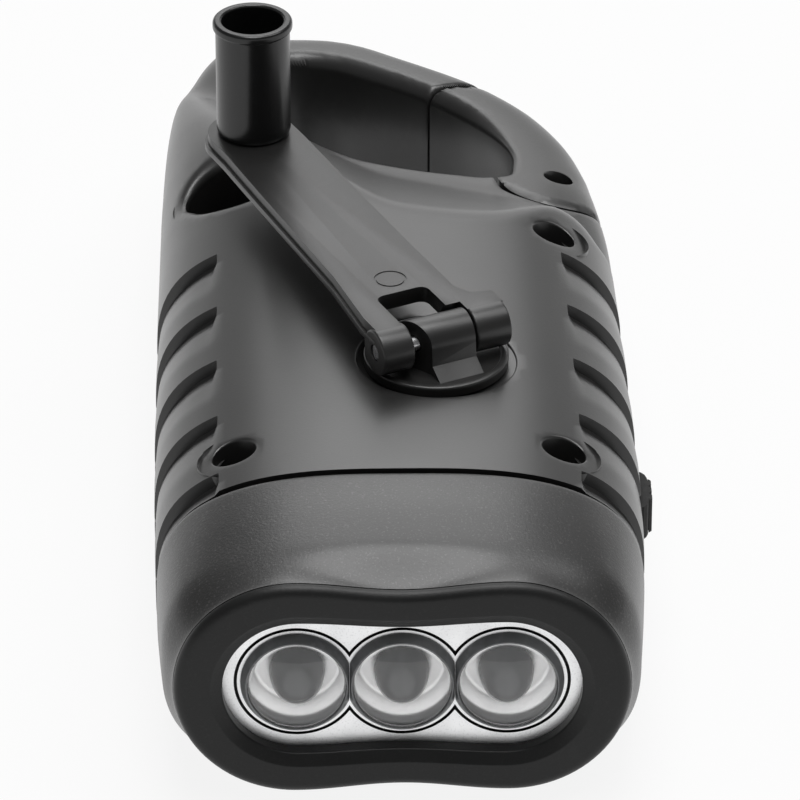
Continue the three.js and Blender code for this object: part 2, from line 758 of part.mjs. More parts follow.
function solarSideShell() {
  const floor = wall + solar_pad_rise;
  const pad = block(-solar_half_width - solar_pad_margin, solar_half_width + solar_pad_margin,
    solar_near - solar_pad_margin, solar_far + solar_pad_margin, wall / 2, floor);
  const bosses = join(
    ...screwBosses(lower_boss_radius, wall / 2, part_line - fit_gap),
    column(lower_boss_radius, wall / 2, socketFloorTop - socket_floor - fit_gap, ...socketPlace),
    ...post_places.map(([x, y]) => column(post_radius, wall / 2, gear_plate_low - slip, x, y)),
    ...boardPosts.map(([x, y]) => column(board_post_radius, wall / 2, board_low - slip, x, y)),
    column(rotor_boss_radius, wall / 2, floor + rotor_boss_rise, ...rotorPlace),
    pad,
    ...[-1, 1].map((side) => block(
      Math.min(side * packHalf, side * (packHalf + cradle_thickness)),
      Math.max(side * packHalf, side * (packHalf + cradle_thickness)),
      cell_y - cradle_half_width, cell_y + cradle_half_width, wall / 2, cell_height)),
  ).intersect(innerSkin);
  const neckTurn = radians(tongue_neck_turn);
  const tongueNeck = block(0, tongue_neck_length, -tongue_neck_width / 2, tongue_neck_width / 2,
    tongue_low, part_line).rotate([0, 0, tongue_neck_turn]).translate([pivotX, pivot_y, 0]);
  const tongue = join(column(tongue_radius, tongue_low, part_line, pivotX, pivot_y, round_sides),
    tongueNeck.intersect(bodySolid));
  const shell = join(hollowBody.intersect(boxAll(-cut_over, part_line)), bosses, tongue);
  const [solarWireX, solarWireY] = [solar_wire_x, solar_wire_y];
  return cut(
    shell,
    block(-solar_half_width, solar_half_width, solar_near, solar_far, -cut_over, solar_pocket),
    column(solar_wire_hole, -cut_over, floor + cut_over, solarWireX, solarWireY),
    column(gate_pin_radius + slip / 2, -cut_over, part_line + cut_over, pivotX, pivot_y, small_sides),
    column(rotor_shaft_radius + slip, floor - rotor_boss_rise, floor + cut_over, ...rotorPlace),
    ...screwBosses(screw_shank_radius + slip / 2, screw_seat - screw_shank_length - fit_gap, part_line),
    column(screw_shank_radius + slip / 2, socketScrewSeat - screw_shank_length - fit_gap, part_line,
      ...socketPlace),
    ...post_places.map(([x, y]) => column(post_screw_radius + slip / 2,
      gearPlateTop - post_screw_length - fit_gap, gear_plate_low, x, y)),
  );
}

// Lamp head

// An outline with round ends and a drawn-in waist, as a ring at a place along the case
function waistedRing(radius, centre, waist, y) {
  const ring = [];
  const arcSteps = small_sides;
  const waistSteps = 6;
  for (const side of [1, -1]) {
    for (let i = 0; i <= arcSteps; i++) {
      const turn = -Math.PI / 2 + (Math.PI * i) / arcSteps;
      const x = side * (centre + radius * Math.cos(turn));
      ring.push(new THREE.Vector3(x, y, lamp_height + side * radius * Math.sin(turn)));
    }
    for (let i = 1; i < waistSteps; i++) {
      const x = centre * (1 - (2 * i) / waistSteps);
      const dip = (waist * (1 + Math.cos((Math.PI * x) / centre))) / 2;
      ring.push(new THREE.Vector3(side * x, y, lamp_height + side * (radius - dip)));
    }
  }
  return ring;
}

const bezelFront = -front_reach - bezel_stand;
const plateFront = bezelFront + plate_recess;
const plateRear = plateFront + plate_thickness;
const skirtRear = -front_reach + bezel_skirt_length;

function headShell() {
  const outer = loft([...head_stations.map(placeOf), headRear].map((y) => caseRing(y, 0, section_points)));
  const inner = loft(
    [-front_reach + head_wall, headRear - neck_length, headRear + cut_over].map(
      (y) => caseRing(y, head_wall, section_points),
    ),
  );
  const mouth = loft([-front_reach - cut_over, -front_reach + 2 * head_wall].map(
    (y) => waistedRing(bezel_radius - bezel_skirt_inset + slip, bezel_centre, bezel_waist, y),
  ));
  return cut(outer, inner, mouth);
}

function bezel() {
  const flange = loft([
    [bezel_radius - bezel_bevel, bezelFront],
    [bezel_radius, bezelFront + bezel_bevel],
    [bezel_radius, -front_reach - slip],
  ].map(([radius, y]) => waistedRing(radius, bezel_centre, bezel_waist, y)));
  const skirt = loft([-front_reach - 2 * slip, skirtRear].map(
    (y) => waistedRing(bezel_radius - bezel_skirt_inset, bezel_centre, bezel_waist, y),
  ));
  const flareSlope = mouth_flare / mouth_flare_depth;
  const mouth = loft([
    [mouth_radius + mouth_flare + flareSlope * cut_over, bezelFront - cut_over],
    [mouth_radius, bezelFront + mouth_flare_depth],
    [mouth_radius, plateFront + slip],
  ].map(([radius, y]) => waistedRing(radius, mouth_centre, mouth_waist, y)));
  const seat = loft([plateFront - slip, skirtRear + cut_over].map(
    (y) => waistedRing(plate_radius + slip, mouth_centre, mouth_waist, y),
  ));
  return cut(join(flange, skirt), mouth, seat);
}

const lensPlaces = Array.from({ length: lens_count }, (_, i) => (i - (lens_count - 1) / 2) * lens_pitch);

function lensPlate() {
  const plate = loft([plateFront, plateRear].map((y) => waistedRing(plate_radius, mouth_centre, mouth_waist, y)));
  const holes = lensPlaces.map((x) => turnedForward(
    [[0, plateFront - cut_over], [lens_radius + slip, plateFront - cut_over],
      [lens_radius + slip, plateRear + cut_over], [0, plateRear + cut_over]], x, lamp_height));
  return cut(plate, ...holes);
}

const reflectorFront = plateRear + slip;
const cupRear = reflectorFront + cup_depth;

function reflector() {
  const plate = loft([reflectorFront, reflectorFront + plate_thickness].map(
    (y) => waistedRing(plate_radius, mouth_centre, mouth_waist, y),
  ));
  const cups = lensPlaces.map((x) => turnedForward(
    [[0, reflectorFront], [cup_front_radius + cup_wall, reflectorFront], [cup_rear_radius + cup_wall, cupRear],
      [0, cupRear]], x, lamp_height));
  const slope = (cup_front_radius - cup_rear_radius) / cup_depth;
  const holes = lensPlaces.map((x) => turnedForward(
    [[0, reflectorFront - cut_over], [cup_front_radius + slope * cut_over, reflectorFront - cut_over],
      [cup_rear_radius - slope * cut_over, cupRear + cut_over], [0, cupRear + cut_over]], x, lamp_height));
  return cut(join(plate, ...cups), ...holes);
}

function lens(x) {
  const rear = plateRear;
  const front = rear - lens_flange;
  const sphere = (dome_radius ** 2 + dome_rise ** 2) / (2 * dome_rise);
  const halfAngle = Math.asin(dome_radius / sphere);
  const profile = [[0, rear], [lens_radius, rear], [lens_radius, front]];
  for (let i = 0; i <= dome_rings; i++) {
    const turn = halfAngle * (1 - i / dome_rings);
    profile.push([i < dome_rings ? sphere * Math.sin(turn) : 0,
      front - dome_rise + sphere * (1 - Math.cos(turn))]);
  }
  return turnedForward(profile, x, lamp_height);
}

const ledBoardFront = cupRear + slip;

function led(x) {
  const rear = ledBoardFront - slip / 2;
  const front = rear - led_length;
  const profile = [[0, rear], [led_radius + led_collar, rear], [led_radius + led_collar, rear - slip],
    [led_radius, rear - 2 * slip], [led_radius, front + led_radius]];
  const rings = 3;
  for (let i = 1; i <= rings; i++) {
    const turn = ((Math.PI / 2) * i) / rings;
    profile.push([i < rings ? led_radius * Math.cos(turn) : 0, front + led_radius * (1 - Math.sin(turn))]);
  }
  return turnedForward(profile, x, lamp_height, small_sides);
}

function ledBoard() {
  return block(-led_board_half_width, led_board_half_width, ledBoardFront, ledBoardFront + led_board_thickness,
    lamp_height - led_board_height / 2, lamp_height + led_board_height / 2);
}

// Crank pieces: made in the arm's own frame, whose Y runs from the hinge to the knob

function crankHub() {
  const disc = turned([[0, discBottom], [hub_radius - hub_edge, discBottom], [hub_radius, discBottom + hub_edge],
    [hub_radius, discTop - hub_edge], [hub_radius - hub_edge, discTop], [0, discTop]], wide_sides)
    .translate([hub_x, hub_y, 0]);
  const shaft = column(hub_shaft_radius, bearingLow - slip, discBottom + slip, hub_x, hub_y, round_sides);
  const spigot = column(hub_spigot_radius, drive_gear_low, bearingLow, hub_x, hub_y);
  const barrel = rod(barrel_radius, -lug_left, lug_right, 0, hingeHeight, round_sides);
  const foot = new THREE.ExtrudeGeometry(polygonShape([
    [-lug_foot, discTop - hub_disc_rise], [lug_back, discTop - hub_disc_rise], [lug_back, hingeHeight],
    [-lug_foot_top, discTop + lug_foot_height], [-lug_foot, discTop],
  ]), { depth: lug_left + lug_right, bevelEnabled: false });
  foot.rotateX(Math.PI / 2).rotateZ(Math.PI / 2).translate(-lug_left, 0, 0);
  const lug = join(barrel, solidOf(foot)).rotate([0, 0, crank_turn_angle]).translate([hingeX, hingeY, 0]);
  const bore = rod(hinge_pin_radius + slip, -barrel_left, barrel_right, 0, hingeHeight)
    .rotate([0, 0, crank_turn_angle]).translate([hingeX, hingeY, 0]);
  const screwHole = column(hub_screw_radius + slip / 2, drive_gear_low - cut_over,
    drive_gear_low + hub_screw_length, hub_x, hub_y);
  return cut(join(disc, shaft, spigot, lug), bore, screwHole);
}

function armShape(margin) {
  const shape = new THREE.Shape();
  const endRadius = arm_end_radius - margin;
  const left = arm_left_shares.map(([x, y]) => [x * arm_length + margin, y * arm_length]);
  const right = [...arm_right_shares].reverse().map(([x, y]) => [x * arm_length - margin, y * arm_length]);
  shape.moveTo(...left[0]);
  right.forEach(([x, y]) => shape.lineTo(x, y));
  shape.absarc(-arm_end_offset, arm_length, endRadius, 0, Math.PI, false);
  [...left].reverse().forEach(([x, y]) => shape.lineTo(x, y));
  return shape;
}

function crankArm() {
  const lip = prism(armShape(0), armUnder, armUnder + arm_lip_height);
  const plate = prism(armShape(arm_lip), armUnder, armTop);
  const knuckles = [[-barrel_left, -lug_left - lug_gap], [lug_right + lug_gap, barrel_right]].map(
    ([left, right]) => rod(barrel_radius, left, right, 0, hingeHeight, round_sides),
  );
  const lugSpace = rod(barrel_radius + 2 * fit_gap, -lug_left - lug_gap, lug_right + lug_gap, 0, hingeHeight,
    round_sides);
  const window = prism(polygonShape([
    [-window_left, 0], [window_right, 0], [window_right, window_far - window_corner],
    [window_right - window_corner / 2, window_far - window_corner / 3],
    [(window_right - window_left) / 2, window_far], [-window_left + window_corner / 2, window_far],
    [-window_left, window_far - window_corner / 3],
  ]), armUnder - cut_over, armTop + cut_over);
  const pinHole = column(knob_pin_radius + slip / 2, armUnder - cut_over, armTop + cut_over, 0, arm_length);
  const hingeBore = rod(hinge_pin_radius + slip / 2, -barrel_left - cut_over,
    barrel_right + cut_over, 0, hingeHeight);
  const ejectMark = column(eject_mark_radius, armTop - eject_mark_depth, armTop + cut_over, eject_mark_x,
    eject_mark_y);
  const arm = join(cut(join(lip, plate), lugSpace, window), ...knuckles);
  return cut(arm, pinHole, hingeBore, ejectMark);
}

function hingePin() {
  return rod(hinge_pin_radius, -barrel_left + hinge_pin_inset, barrel_right - hinge_pin_inset, 0,
    hingeHeight);
}

const knobLow = armTop + fit_gap / 2;
const knobTop = armTop + knob_height;

function crankKnob() {
  const bore = knob_pin_radius + slip;
  return turned([
    [bore, knobLow], [knob_radius, knobLow], [knob_radius, knobTop - knob_flange_height - knob_edge],
    [knob_radius + knob_flange, knobTop - knob_flange_height],
    [knob_radius + knob_flange, knobTop - knob_edge], [knob_radius, knobTop],
    [knob_bore_radius + knob_edge, knobTop], [knob_bore_radius, knobTop - knob_edge],
    [knob_bore_radius, knobLow + knob_floor], [bore, knobLow + knob_floor],
  ], round_sides).translate([0, arm_length, 0]);
}

function knobPin() {
  const headLow = knobLow + knob_floor + slip;
  return turned([
    [0, armUnder - slip - knob_pin_tail_height], [knob_pin_tail, armUnder - slip - knob_pin_tail_height],
    [knob_pin_tail, armUnder - slip], [knob_pin_radius, armUnder - slip], [knob_pin_radius, headLow],
    [knob_pin_head, headLow], [knob_pin_head, headLow + knob_pin_head_height],
    [0, headLow + knob_pin_head_height],
  ], small_sides).translate([0, arm_length, 0]);
}

// Gears

function gearShape(teeth, phase, tipWidth, rootWidth) {
  const step = (2 * Math.PI) / teeth;
  const pitch = pitchRadius(teeth);
  const levels = [
    [pitch - dedendum_share * gear_module, rootWidth],
    [pitch, pitch_width_share],
    [pitch + addendum_share * gear_module, tipWidth],
  ];
  const points = [];
  for (let tooth = 0; tooth < teeth; tooth++) {
    const middle = phase + tooth * step;
    const rising = levels.map(([radius, width]) => [radius, middle - (width * step) / 2]);
    const falling = [...levels].reverse().map(([radius, width]) => [radius, middle + (width * step) / 2]);
    points.push(...[...rising, ...falling].map(([r, turn]) => [r * Math.cos(turn), r * Math.sin(turn)]));
  }
  return polygonShape(points);
}

const largeGear = (teeth, phase) => gearShape(teeth, phase, tip_width_share, root_width_share);
const pinionGear = (phase) => gearShape(pinion_teeth, phase, pinion_tip_width_share, pinion_root_width_share);

// The phase that puts a gap of the driven gear over a tooth of the driving one
function meshedPhase(phase, teeth, turn) {
  const direction = radians(turn);
  return direction + Math.PI + Math.PI / pinion_teeth - ((phase - direction) * teeth) / pinion_teeth;
}

const firstPinionPhase = meshedPhase(0, drive_teeth, first_turn);
const secondPinionPhase = meshedPhase(0, first_teeth, second_turn);
const rotorPinionPhase = meshedPhase(0, second_teeth, rotor_turn);

function driveGear() {
  const gear = prism(largeGear(drive_teeth, 0), drive_gear_low, drive_gear_low + drive_gear_thickness);
  return cut(gear.translate([hub_x, hub_y, 0]), column(hub_spigot_radius + slip, drive_gear_low - cut_over,
    drive_gear_low + drive_gear_thickness + cut_over, hub_x, hub_y));
}

// A large gear with a pinion on top of it, running on an axle
function compoundGear(place, teeth, low, thickness, pinionHigh, pinionPhase) {
  const gear = prism(largeGear(teeth, 0), low, low + thickness);
  const pinion = prism(pinionGear(pinionPhase), low, pinionHigh);
  const bore = column(axle_radius + slip, low - cut_over, pinionHigh + cut_over);
  return cut(join(gear, pinion), bore).translate([place[0], place[1], 0]);
}

const firstGearTop = drive_gear_low + drive_gear_thickness + pinion_margin;
const secondGearTop = first_gear_low + first_gear_thickness + pinion_margin;
const rotorPinionTop = second_gear_low + second_gear_thickness + pinion_margin;

function axle(place) {
  return column(axle_radius, gear_plate_low, axle_boss_low + axle_seat, place[0], place[1]);
}

function spacer(place, low) {
  const ring = column(axle_radius + 2 * fit_gap, gearPlateTop + slip, low - slip, place[0], place[1]);
  return cut(ring, column(axle_radius + slip / 2, gearPlateTop - cut_over, low + cut_over, place[0], place[1]));
}

function hubScrew() {
  const headTop = drive_gear_low - hub_screw_gap;
  return turned([
    [0, headTop - hub_screw_head_height], [hub_screw_head, headTop - hub_screw_head_height],
    [hub_screw_head, headTop], [hub_screw_radius, headTop],
    [hub_screw_radius, drive_gear_low + hub_screw_length - fit_gap],
    [0, drive_gear_low + hub_screw_length - fit_gap],
  ], small_sides).translate([hub_x, hub_y, 0]);
}

function gearboxPlate() {
  const corners = post_places.map(([x, y]) => new THREE.Vector2(x, y));
  const shape = new THREE.Shape();
  // The posts run clockwise in plan, so the outline is drawn the other way round them
  const ordered = [...corners].reverse();
  ordered.forEach((corner, i) => {
    const before = ordered[(i + ordered.length - 1) % ordered.length];
    const after = ordered[(i + 1) % ordered.length];
    const inward = Math.atan2(corner.y - before.y, corner.x - before.x) - Math.PI / 2;
    const outward = Math.atan2(after.y - corner.y, after.x - corner.x) - Math.PI / 2;
    shape.absarc(corner.x, corner.y, gear_plate_corner, inward, outward, false);
  });
  shape.closePath();
  const plate = prism(shape, gear_plate_low, gearPlateTop, small_sides / 2);
  return cut(
    plate,
    ...[firstPlace, secondPlace].map((place) => column(axle_radius + slip / 2, gear_plate_low - cut_over,
      gearPlateTop + cut_over, ...place)),
    column(rotor_shaft_radius + slip, gear_plate_low - cut_over, gearPlateTop + cut_over, ...rotorPlace),
    ...post_places.map(([x, y]) => column(post_screw_radius + slip, gear_plate_low - cut_over,
      gearPlateTop + cut_over, x, y)),
  );
}

function postScrew([x, y]) {
  const headLow = gearPlateTop + slip;
  return turned([
    [0, headLow - post_screw_length], [post_screw_radius, headLow - post_screw_length],
    [post_screw_radius, headLow], [post_screw_head, headLow],
    [post_screw_head, headLow + post_screw_head_height], [0, headLow + post_screw_head_height],
  ], small_sides).translate([x, y, 0]);
}

// Dynamo

const floorTop = wall + solar_pad_rise;

function rotorShaft() {
  return column(rotor_shaft_radius, floorTop - rotor_boss_rise + slip, rotorPinionTop, ...rotorPlace);
}

function rotorPinion() {
  const pinion = prism(pinionGear(rotorPinionPhase), gearPlateTop + fit_gap, rotorPinionTop - pinion_margin);
  return cut(pinion, column(rotor_shaft_radius + slip / 2, 0, case_height))
    .translate([rotorPlace[0], rotorPlace[1], 0]);
}

function ring(inner, outer, low, high, place, sides = round_sides) {
  return cut(column(outer, low, high, place[0], place[1], sides),
    column(inner, low - cut_over, high + cut_over, place[0], place[1], sides));
}

const statorTop = stator_low + stator_height;
const magnet = () => ring(rotor_shaft_radius + slip / 2, magnet_radius, magnet_low, magnet_low + magnet_height,
  rotorPlace);
const statorCoil = () => ring(coil_inner_radius, coil_outer_radius, stator_low + coil_margin,
  statorTop - coil_margin, rotorPlace);
const statorFrame = () => ring(stator_radius - stator_wall, stator_radius, stator_low, statorTop, rotorPlace);

// Battery

function cell(i) {
  const left = -(cell_count * cell_length) / 2 + i * cell_length;
  return rod(cell_radius, left + cell_gap / 2, left + cell_length - cell_gap / 2, cell_y, cell_height,
    round_sides);
}

function batteryTab(side) {
  const near = (cell_count * cell_length) / 2 + cell_gap;
  const edges = [side * near, side * (near + tab_thickness)].sort((a, b) => a - b);
  return block(edges[0], edges[1], cell_y - tab_half_width, cell_y + tab_half_width,
    cell_height - cell_radius, cell_height + tab_half_width);
}

// Board and what stands on it

function mainBoard() {
  return block(board_left, board_right, board_near, board_far, board_low, board_low + board_thickness);
}

const onBoard = board_low + board_thickness + slip;
const capacitor = () => column(capacitor_radius, onBoard, onBoard + capacitor_height, capacitor_x, capacitor_y);
const rectifier = () => block(chip_x - chip_width / 2, chip_x + chip_width / 2, chip_y - chip_depth / 2,
  chip_y + chip_depth / 2, onBoard, onBoard + chip_height);

// Switch

const switchBoxRight = pocketFloor - switch_box_inset;

function switchBody() {
  const body = block(switchBoxRight - switch_box_depth, switchBoxRight, switch_y - switch_box_length / 2
    - switch_travel / 2, switch_y + switch_box_length / 2 - switch_travel / 2,
  part_line - switch_box_height / 2, part_line + switch_box_height / 2);
  const slot = block(switchBoxRight - switch_box_slot, switchBoxRight + cut_over,
    stemNear - switch_travel - fit_gap, stemFar + fit_gap,
    part_line - stem_height / 2 - fit_gap, part_line + stem_height / 2 + fit_gap);
  return cut(body, slot);
}

function switchButton() {
  const inner = pocketFloor + fit_gap;
  const outer = inner + button_depth - ridge_rise;
  const half = button_length / 2;
  const round = button_round_share * button_length;
  const shape = new THREE.Shape();
  shape.moveTo(inner, -half);
  shape.quadraticCurveTo(outer, -half, outer, -half + round);
  for (let i = 0; i < ridge_count; i++) {
    const middle = (i - (ridge_count - 1) / 2) * ridge_pitch;
    shape.lineTo(outer, middle - ridge_pitch / 2);
    shape.lineTo(outer + ridge_rise, middle - ridge_pitch / 4);
    shape.lineTo(outer + ridge_rise, middle + ridge_pitch / 4);
  }
  shape.lineTo(outer, (ridge_count * ridge_pitch) / 2);
  shape.lineTo(outer, half - round);
  shape.quadraticCurveTo(outer, half, inner, half);
  shape.closePath();
  const cap = prism(shape, part_line - button_height / 2, part_line + button_height / 2, 5)
    .translate([0, switch_y, 0]);
  const stem = block(switchBoxRight - switch_box_slot + fit_gap, inner + slip, stemNear, stemFar,
    part_line - stem_height / 2, part_line + stem_height / 2);
  return join(cap, stem);
}

// Solar panel

function solarSheet(margin, low, high) {
  return block(-solar_half_width + margin, solar_half_width - margin, solar_near + margin, solar_far - margin,
    low, high);
}

const solarWindow = () => solarSheet(slip, window_recess, window_recess + window_thickness);
const solarCell = () => solarSheet(2 * fit_gap, window_recess + window_thickness + slip,
  window_recess + window_thickness + slip + cell_sheet_thickness);

// Fasteners

function caseScrew([x, y], seat) {
  return turned([
    [0, seat - screw_shank_length], [screw_shank_radius, seat - screw_shank_length],
    [screw_shank_radius, seat + slip], [screw_head_radius, seat + slip],
    [screw_head_radius, seat + screw_head_height], [0, seat + screw_head_height],
  ], small_sides).translate([x, y, 0]);
}

// Gate, its pin and its spring

// Height of the case surface over a point in plan, above the part line or below it
function surfaceHeight(x, y, above) {
  const outline = outlineAt(shareOf(y));
  const middle = ((outline.left + outline.right) / 2) * half_width;
  const across = ((outline.right - outline.left) / 2) * half_width;
  const power = above ? section_power : outline.power;
  const reach = above ? outline.top * (case_height - part_line) : -outline.under * part_line;
  return part_line + reach * (1 - Math.abs((x - middle) / across) ** power) ** (1 / power);
}

// The slot in the gate for the tongue: round the pin, and open towards the case over the whole swing
function tongueSlot() {
  const half = tongue_neck_width / 2 + fit_gap;
  const corner = (turn, distance, side) => [
    distance * Math.cos(radians(turn)) - side * half * Math.sin(radians(turn)),
    distance * Math.sin(radians(turn)) + side * half * Math.cos(radians(turn)),
  ];
  const closed = tongue_neck_turn;
  const open = tongue_neck_turn - gate_swing;
  const mouth = prism(polygonShape([
    corner(closed, 0, 1), corner(closed, 2 * heel_radius, 1), corner(open, 2 * heel_radius, -1), corner(open, 0, -1),
  ]), gate_slot_low, gate_slot_high);
  return join(column(tongue_radius + fit_gap, gate_slot_low, gate_slot_high, 0, 0, round_sides), mouth)
    .translate([pivotX, pivot_y, 0]);
}

function gate() {
  const bar = cut(bodySolid, openingSolid).intersect(gateZoneSolid);
  return cut(bar, tongueSlot(), column(gate_hole_radius, -cut_over, case_height, pivotX, pivot_y, small_sides));
}

function gatePin() {
  return column(gate_pin_radius, surfaceHeight(pivotX, pivot_y, false) + gate_pin_recess,
    surfaceHeight(pivotX, pivot_y, true) - gate_pin_recess, pivotX, pivot_y);
}

// A wound spring between the tongue and the upper half of the gate
function gateSpring() {
  const steps = spring_turns * 8;
  const rings = [];
  const start = part_line + fit_gap + spring_wire / 2;
  for (let i = 0; i <= steps; i++) {
    const turn = (2 * Math.PI * i) / 8;
    const out = new THREE.Vector3(Math.cos(turn), Math.sin(turn), 0);
    const centre = out.clone().multiplyScalar(spring_radius);
    centre.z = start + (spring_pitch * i) / 8;
    const ringPoints = [];
    for (let side = 0; side < 5; side++) {
      const around = (2 * Math.PI * side) / 5;
      const point = centre.clone().addScaledVector(out, (spring_wire / 2) * Math.cos(around));
      point.z += (spring_wire / 2) * Math.sin(around);
      ringPoints.push(point.add(new THREE.Vector3(pivotX, pivot_y, 0)));
    }
    rings.push(ringPoints);
  }
  return loft(rings);
}

// Leads

function lead(points) {
  const curve = new THREE.CatmullRomCurve3(points.map(([x, y, z]) => new THREE.Vector3(x, y, z)));
  const section = new THREE.Shape(Array.from({ length: lead_sides }, (_, i) => {
    const turn = (2 * Math.PI * i) / lead_sides;
    return new THREE.Vector2(lead_radius * Math.cos(turn), lead_radius * Math.sin(turn));
  }));
  return solidOf(new THREE.ExtrudeGeometry(section, { extrudePath: curve, steps: lead_steps }));
}

// Materials

const plastic = new THREE.MeshStandardMaterial({ color: 0x2c2d2e, roughness: 0.5, metalness: 0 });
const bezelPlastic = new THREE.MeshStandardMaterial({ color: 0x1b1c1d, roughness: 0.4, metalness: 0 });
const glossPlastic = new THREE.MeshStandardMaterial({ color: 0x161617, roughness: 0.25, metalness: 0 });
const chrome = new THREE.MeshStandardMaterial({ color: 0xe4e6e8, roughness: 0.12, metalness: 1 });
const clear = new THREE.MeshStandardMaterial({ color: 0xf2f6f8, roughness: 0.05, transparent: true, opacity: 0.4 });
const steel = new THREE.MeshStandardMaterial({ color: 0xb9bcc0, roughness: 0.3, metalness: 1 });
const gearPlastic = new THREE.MeshStandardMaterial({ color: 0xe8e6dc, roughness: 0.5, metalness: 0 });
const copper = new THREE.MeshStandardMaterial({ color: 0xb5653a, roughness: 0.35, metalness: 1 });
const magnetGrey = new THREE.MeshStandardMaterial({ color: 0x55565a, roughness: 0.6, metalness: 0.5 });
const boardGreen = new THREE.MeshStandardMaterial({ color: 0x1f5a34, roughness: 0.5, metalness: 0 });
const solarBlue = new THREE.MeshStandardMaterial({ color: 0x141a33, roughness: 0.3, metalness: 0.2 });
const leadRed = new THREE.MeshStandardMaterial({ color: 0xa82020, roughness: 0.5, metalness: 0 });

// Assembly

const flashlight = new THREE.Group();
const crankFrame = new THREE.Group();
crankFrame.position.set(hingeX, hingeY, 0);
crankFrame.rotation.z = crankTurn;
flashlight.add(crankFrame);

function piece(name, solid, material, parent = flashlight) {
  const mesh = new THREE.Mesh(geometryOf(solid), material);
  mesh.name = name;
  parent.add(mesh);
}

piece("crank_side_shell", crankSideShell(), plastic);
piece("solar_side_shell", solarSideShell(), plastic);
piece("head_shell", headShell(), plastic);
piece("bezel", bezel(), bezelPlastic);
piece("lens_plate", lensPlate(), chrome);
piece("reflector", reflector(), chrome);
lensPlaces.forEach((x, i) => piece(`lens_${i + 1}`, lens(x), clear));
lensPlaces.forEach((x, i) => piece(`led_${i + 1}`, led(x), clear));
piece("led_board", ledBoard(), boardGreen);

piece("crank_hub", crankHub(), plastic);
piece("crank_arm", crankArm(), plastic, crankFrame);
piece("hinge_pin", hingePin(), steel, crankFrame);
piece("crank_knob", crankKnob(), glossPlastic, crankFrame);
piece("knob_pin", knobPin(), steel, crankFrame);

piece("drive_gear", driveGear(), gearPlastic);
piece("hub_screw", hubScrew(), steel);
piece("first_gear", compoundGear(firstPlace, first_teeth, first_gear_low, first_gear_thickness, firstGearTop,
  firstPinionPhase), gearPlastic);
piece("second_gear", compoundGear(secondPlace, second_teeth, second_gear_low, second_gear_thickness,
  secondGearTop, secondPinionPhase), gearPlastic);
piece("first_axle", axle(firstPlace), steel);
piece("second_axle", axle(secondPlace), steel);
piece("first_spacer", spacer(firstPlace, first_gear_low), steel);
piece("second_spacer", spacer(secondPlace, second_gear_low), steel);
piece("gearbox_plate", gearboxPlate(), gearPlastic);
post_places.forEach((place, i) => piece(`gearbox_screw_${i + 1}`, postScrew(place), steel));

piece("rotor_shaft", rotorShaft(), steel);
piece("rotor_pinion", rotorPinion(), gearPlastic);
piece("rotor_magnet", magnet(), magnetGrey);
piece("stator_coil", statorCoil(), copper);
piece("stator_frame", statorFrame(), steel);

for (let i = 0; i < cell_count; i++) piece(`battery_cell_${i + 1}`, cell(i), steel);
piece("battery_tab_left", batteryTab(-1), steel);
piece("battery_tab_right", batteryTab(1), steel);

piece("main_board", mainBoard(), boardGreen);
piece("capacitor", capacitor(), plastic);
piece("rectifier", rectifier(), plastic);
piece("switch_body", switchBody(), plastic);
piece("switch_button", switchButton(), plastic);
piece("solar_window", solarWindow(), clear);
piece("solar_cell", solarCell(), solarBlue);

case_screw_places.forEach((place, i) => piece(`case_screw_${i + 1}`, caseScrew(place, screw_seat), steel));
piece("socket_screw", caseScrew(socketPlace, socketScrewSeat), steel);
piece("hook_gate", gate(), plastic);
piece("gate_pin", gatePin(), steel);
piece("gate_spring", gateSpring(), steel);

piece("led_lead", lead(led_lead_points), leadRed);
piece("battery_lead", lead(battery_lead_points), leadRed);
piece("dynamo_lead", lead(dynamo_lead_points), leadRed);
piece("solar_lead", lead(solar_lead_points), leadRed);

export default flashlight;
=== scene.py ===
"""Hand crank flashlight: what is seen of it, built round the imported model."""
import math

import bmesh
import bpy
import numpy as np
from bpy.props import FloatProperty, FloatVectorProperty, IntProperty
from mathutils import Matrix, Vector, geometry, kdtree


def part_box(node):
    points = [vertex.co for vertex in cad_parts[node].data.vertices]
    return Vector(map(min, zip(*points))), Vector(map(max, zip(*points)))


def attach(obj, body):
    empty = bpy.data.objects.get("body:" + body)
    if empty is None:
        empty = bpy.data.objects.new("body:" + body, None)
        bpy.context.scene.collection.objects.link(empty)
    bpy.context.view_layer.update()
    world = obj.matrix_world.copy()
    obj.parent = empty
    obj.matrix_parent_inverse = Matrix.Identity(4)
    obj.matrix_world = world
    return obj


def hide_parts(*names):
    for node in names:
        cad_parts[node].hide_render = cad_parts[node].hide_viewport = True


bl_info = {
    "name": "Hand Crank Flashlight",
    "version": (1, 0, 0),
    "blender": (4, 5, 0),
    "location": "3D View > Sidebar > Flashlight",
    "description": "Builds the shells, crank, lamps and hook of a hand crank flashlight",
    "category": "Object",
}

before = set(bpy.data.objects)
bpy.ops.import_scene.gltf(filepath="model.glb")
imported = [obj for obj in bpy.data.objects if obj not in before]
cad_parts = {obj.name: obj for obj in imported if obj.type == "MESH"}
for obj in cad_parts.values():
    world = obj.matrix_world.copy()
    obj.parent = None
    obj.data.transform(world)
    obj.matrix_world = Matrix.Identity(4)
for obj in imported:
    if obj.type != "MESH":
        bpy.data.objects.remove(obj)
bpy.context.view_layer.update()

MM = 0.001
knob_low, knob_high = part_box("crank_knob")


# Sizes and colours that a user would change


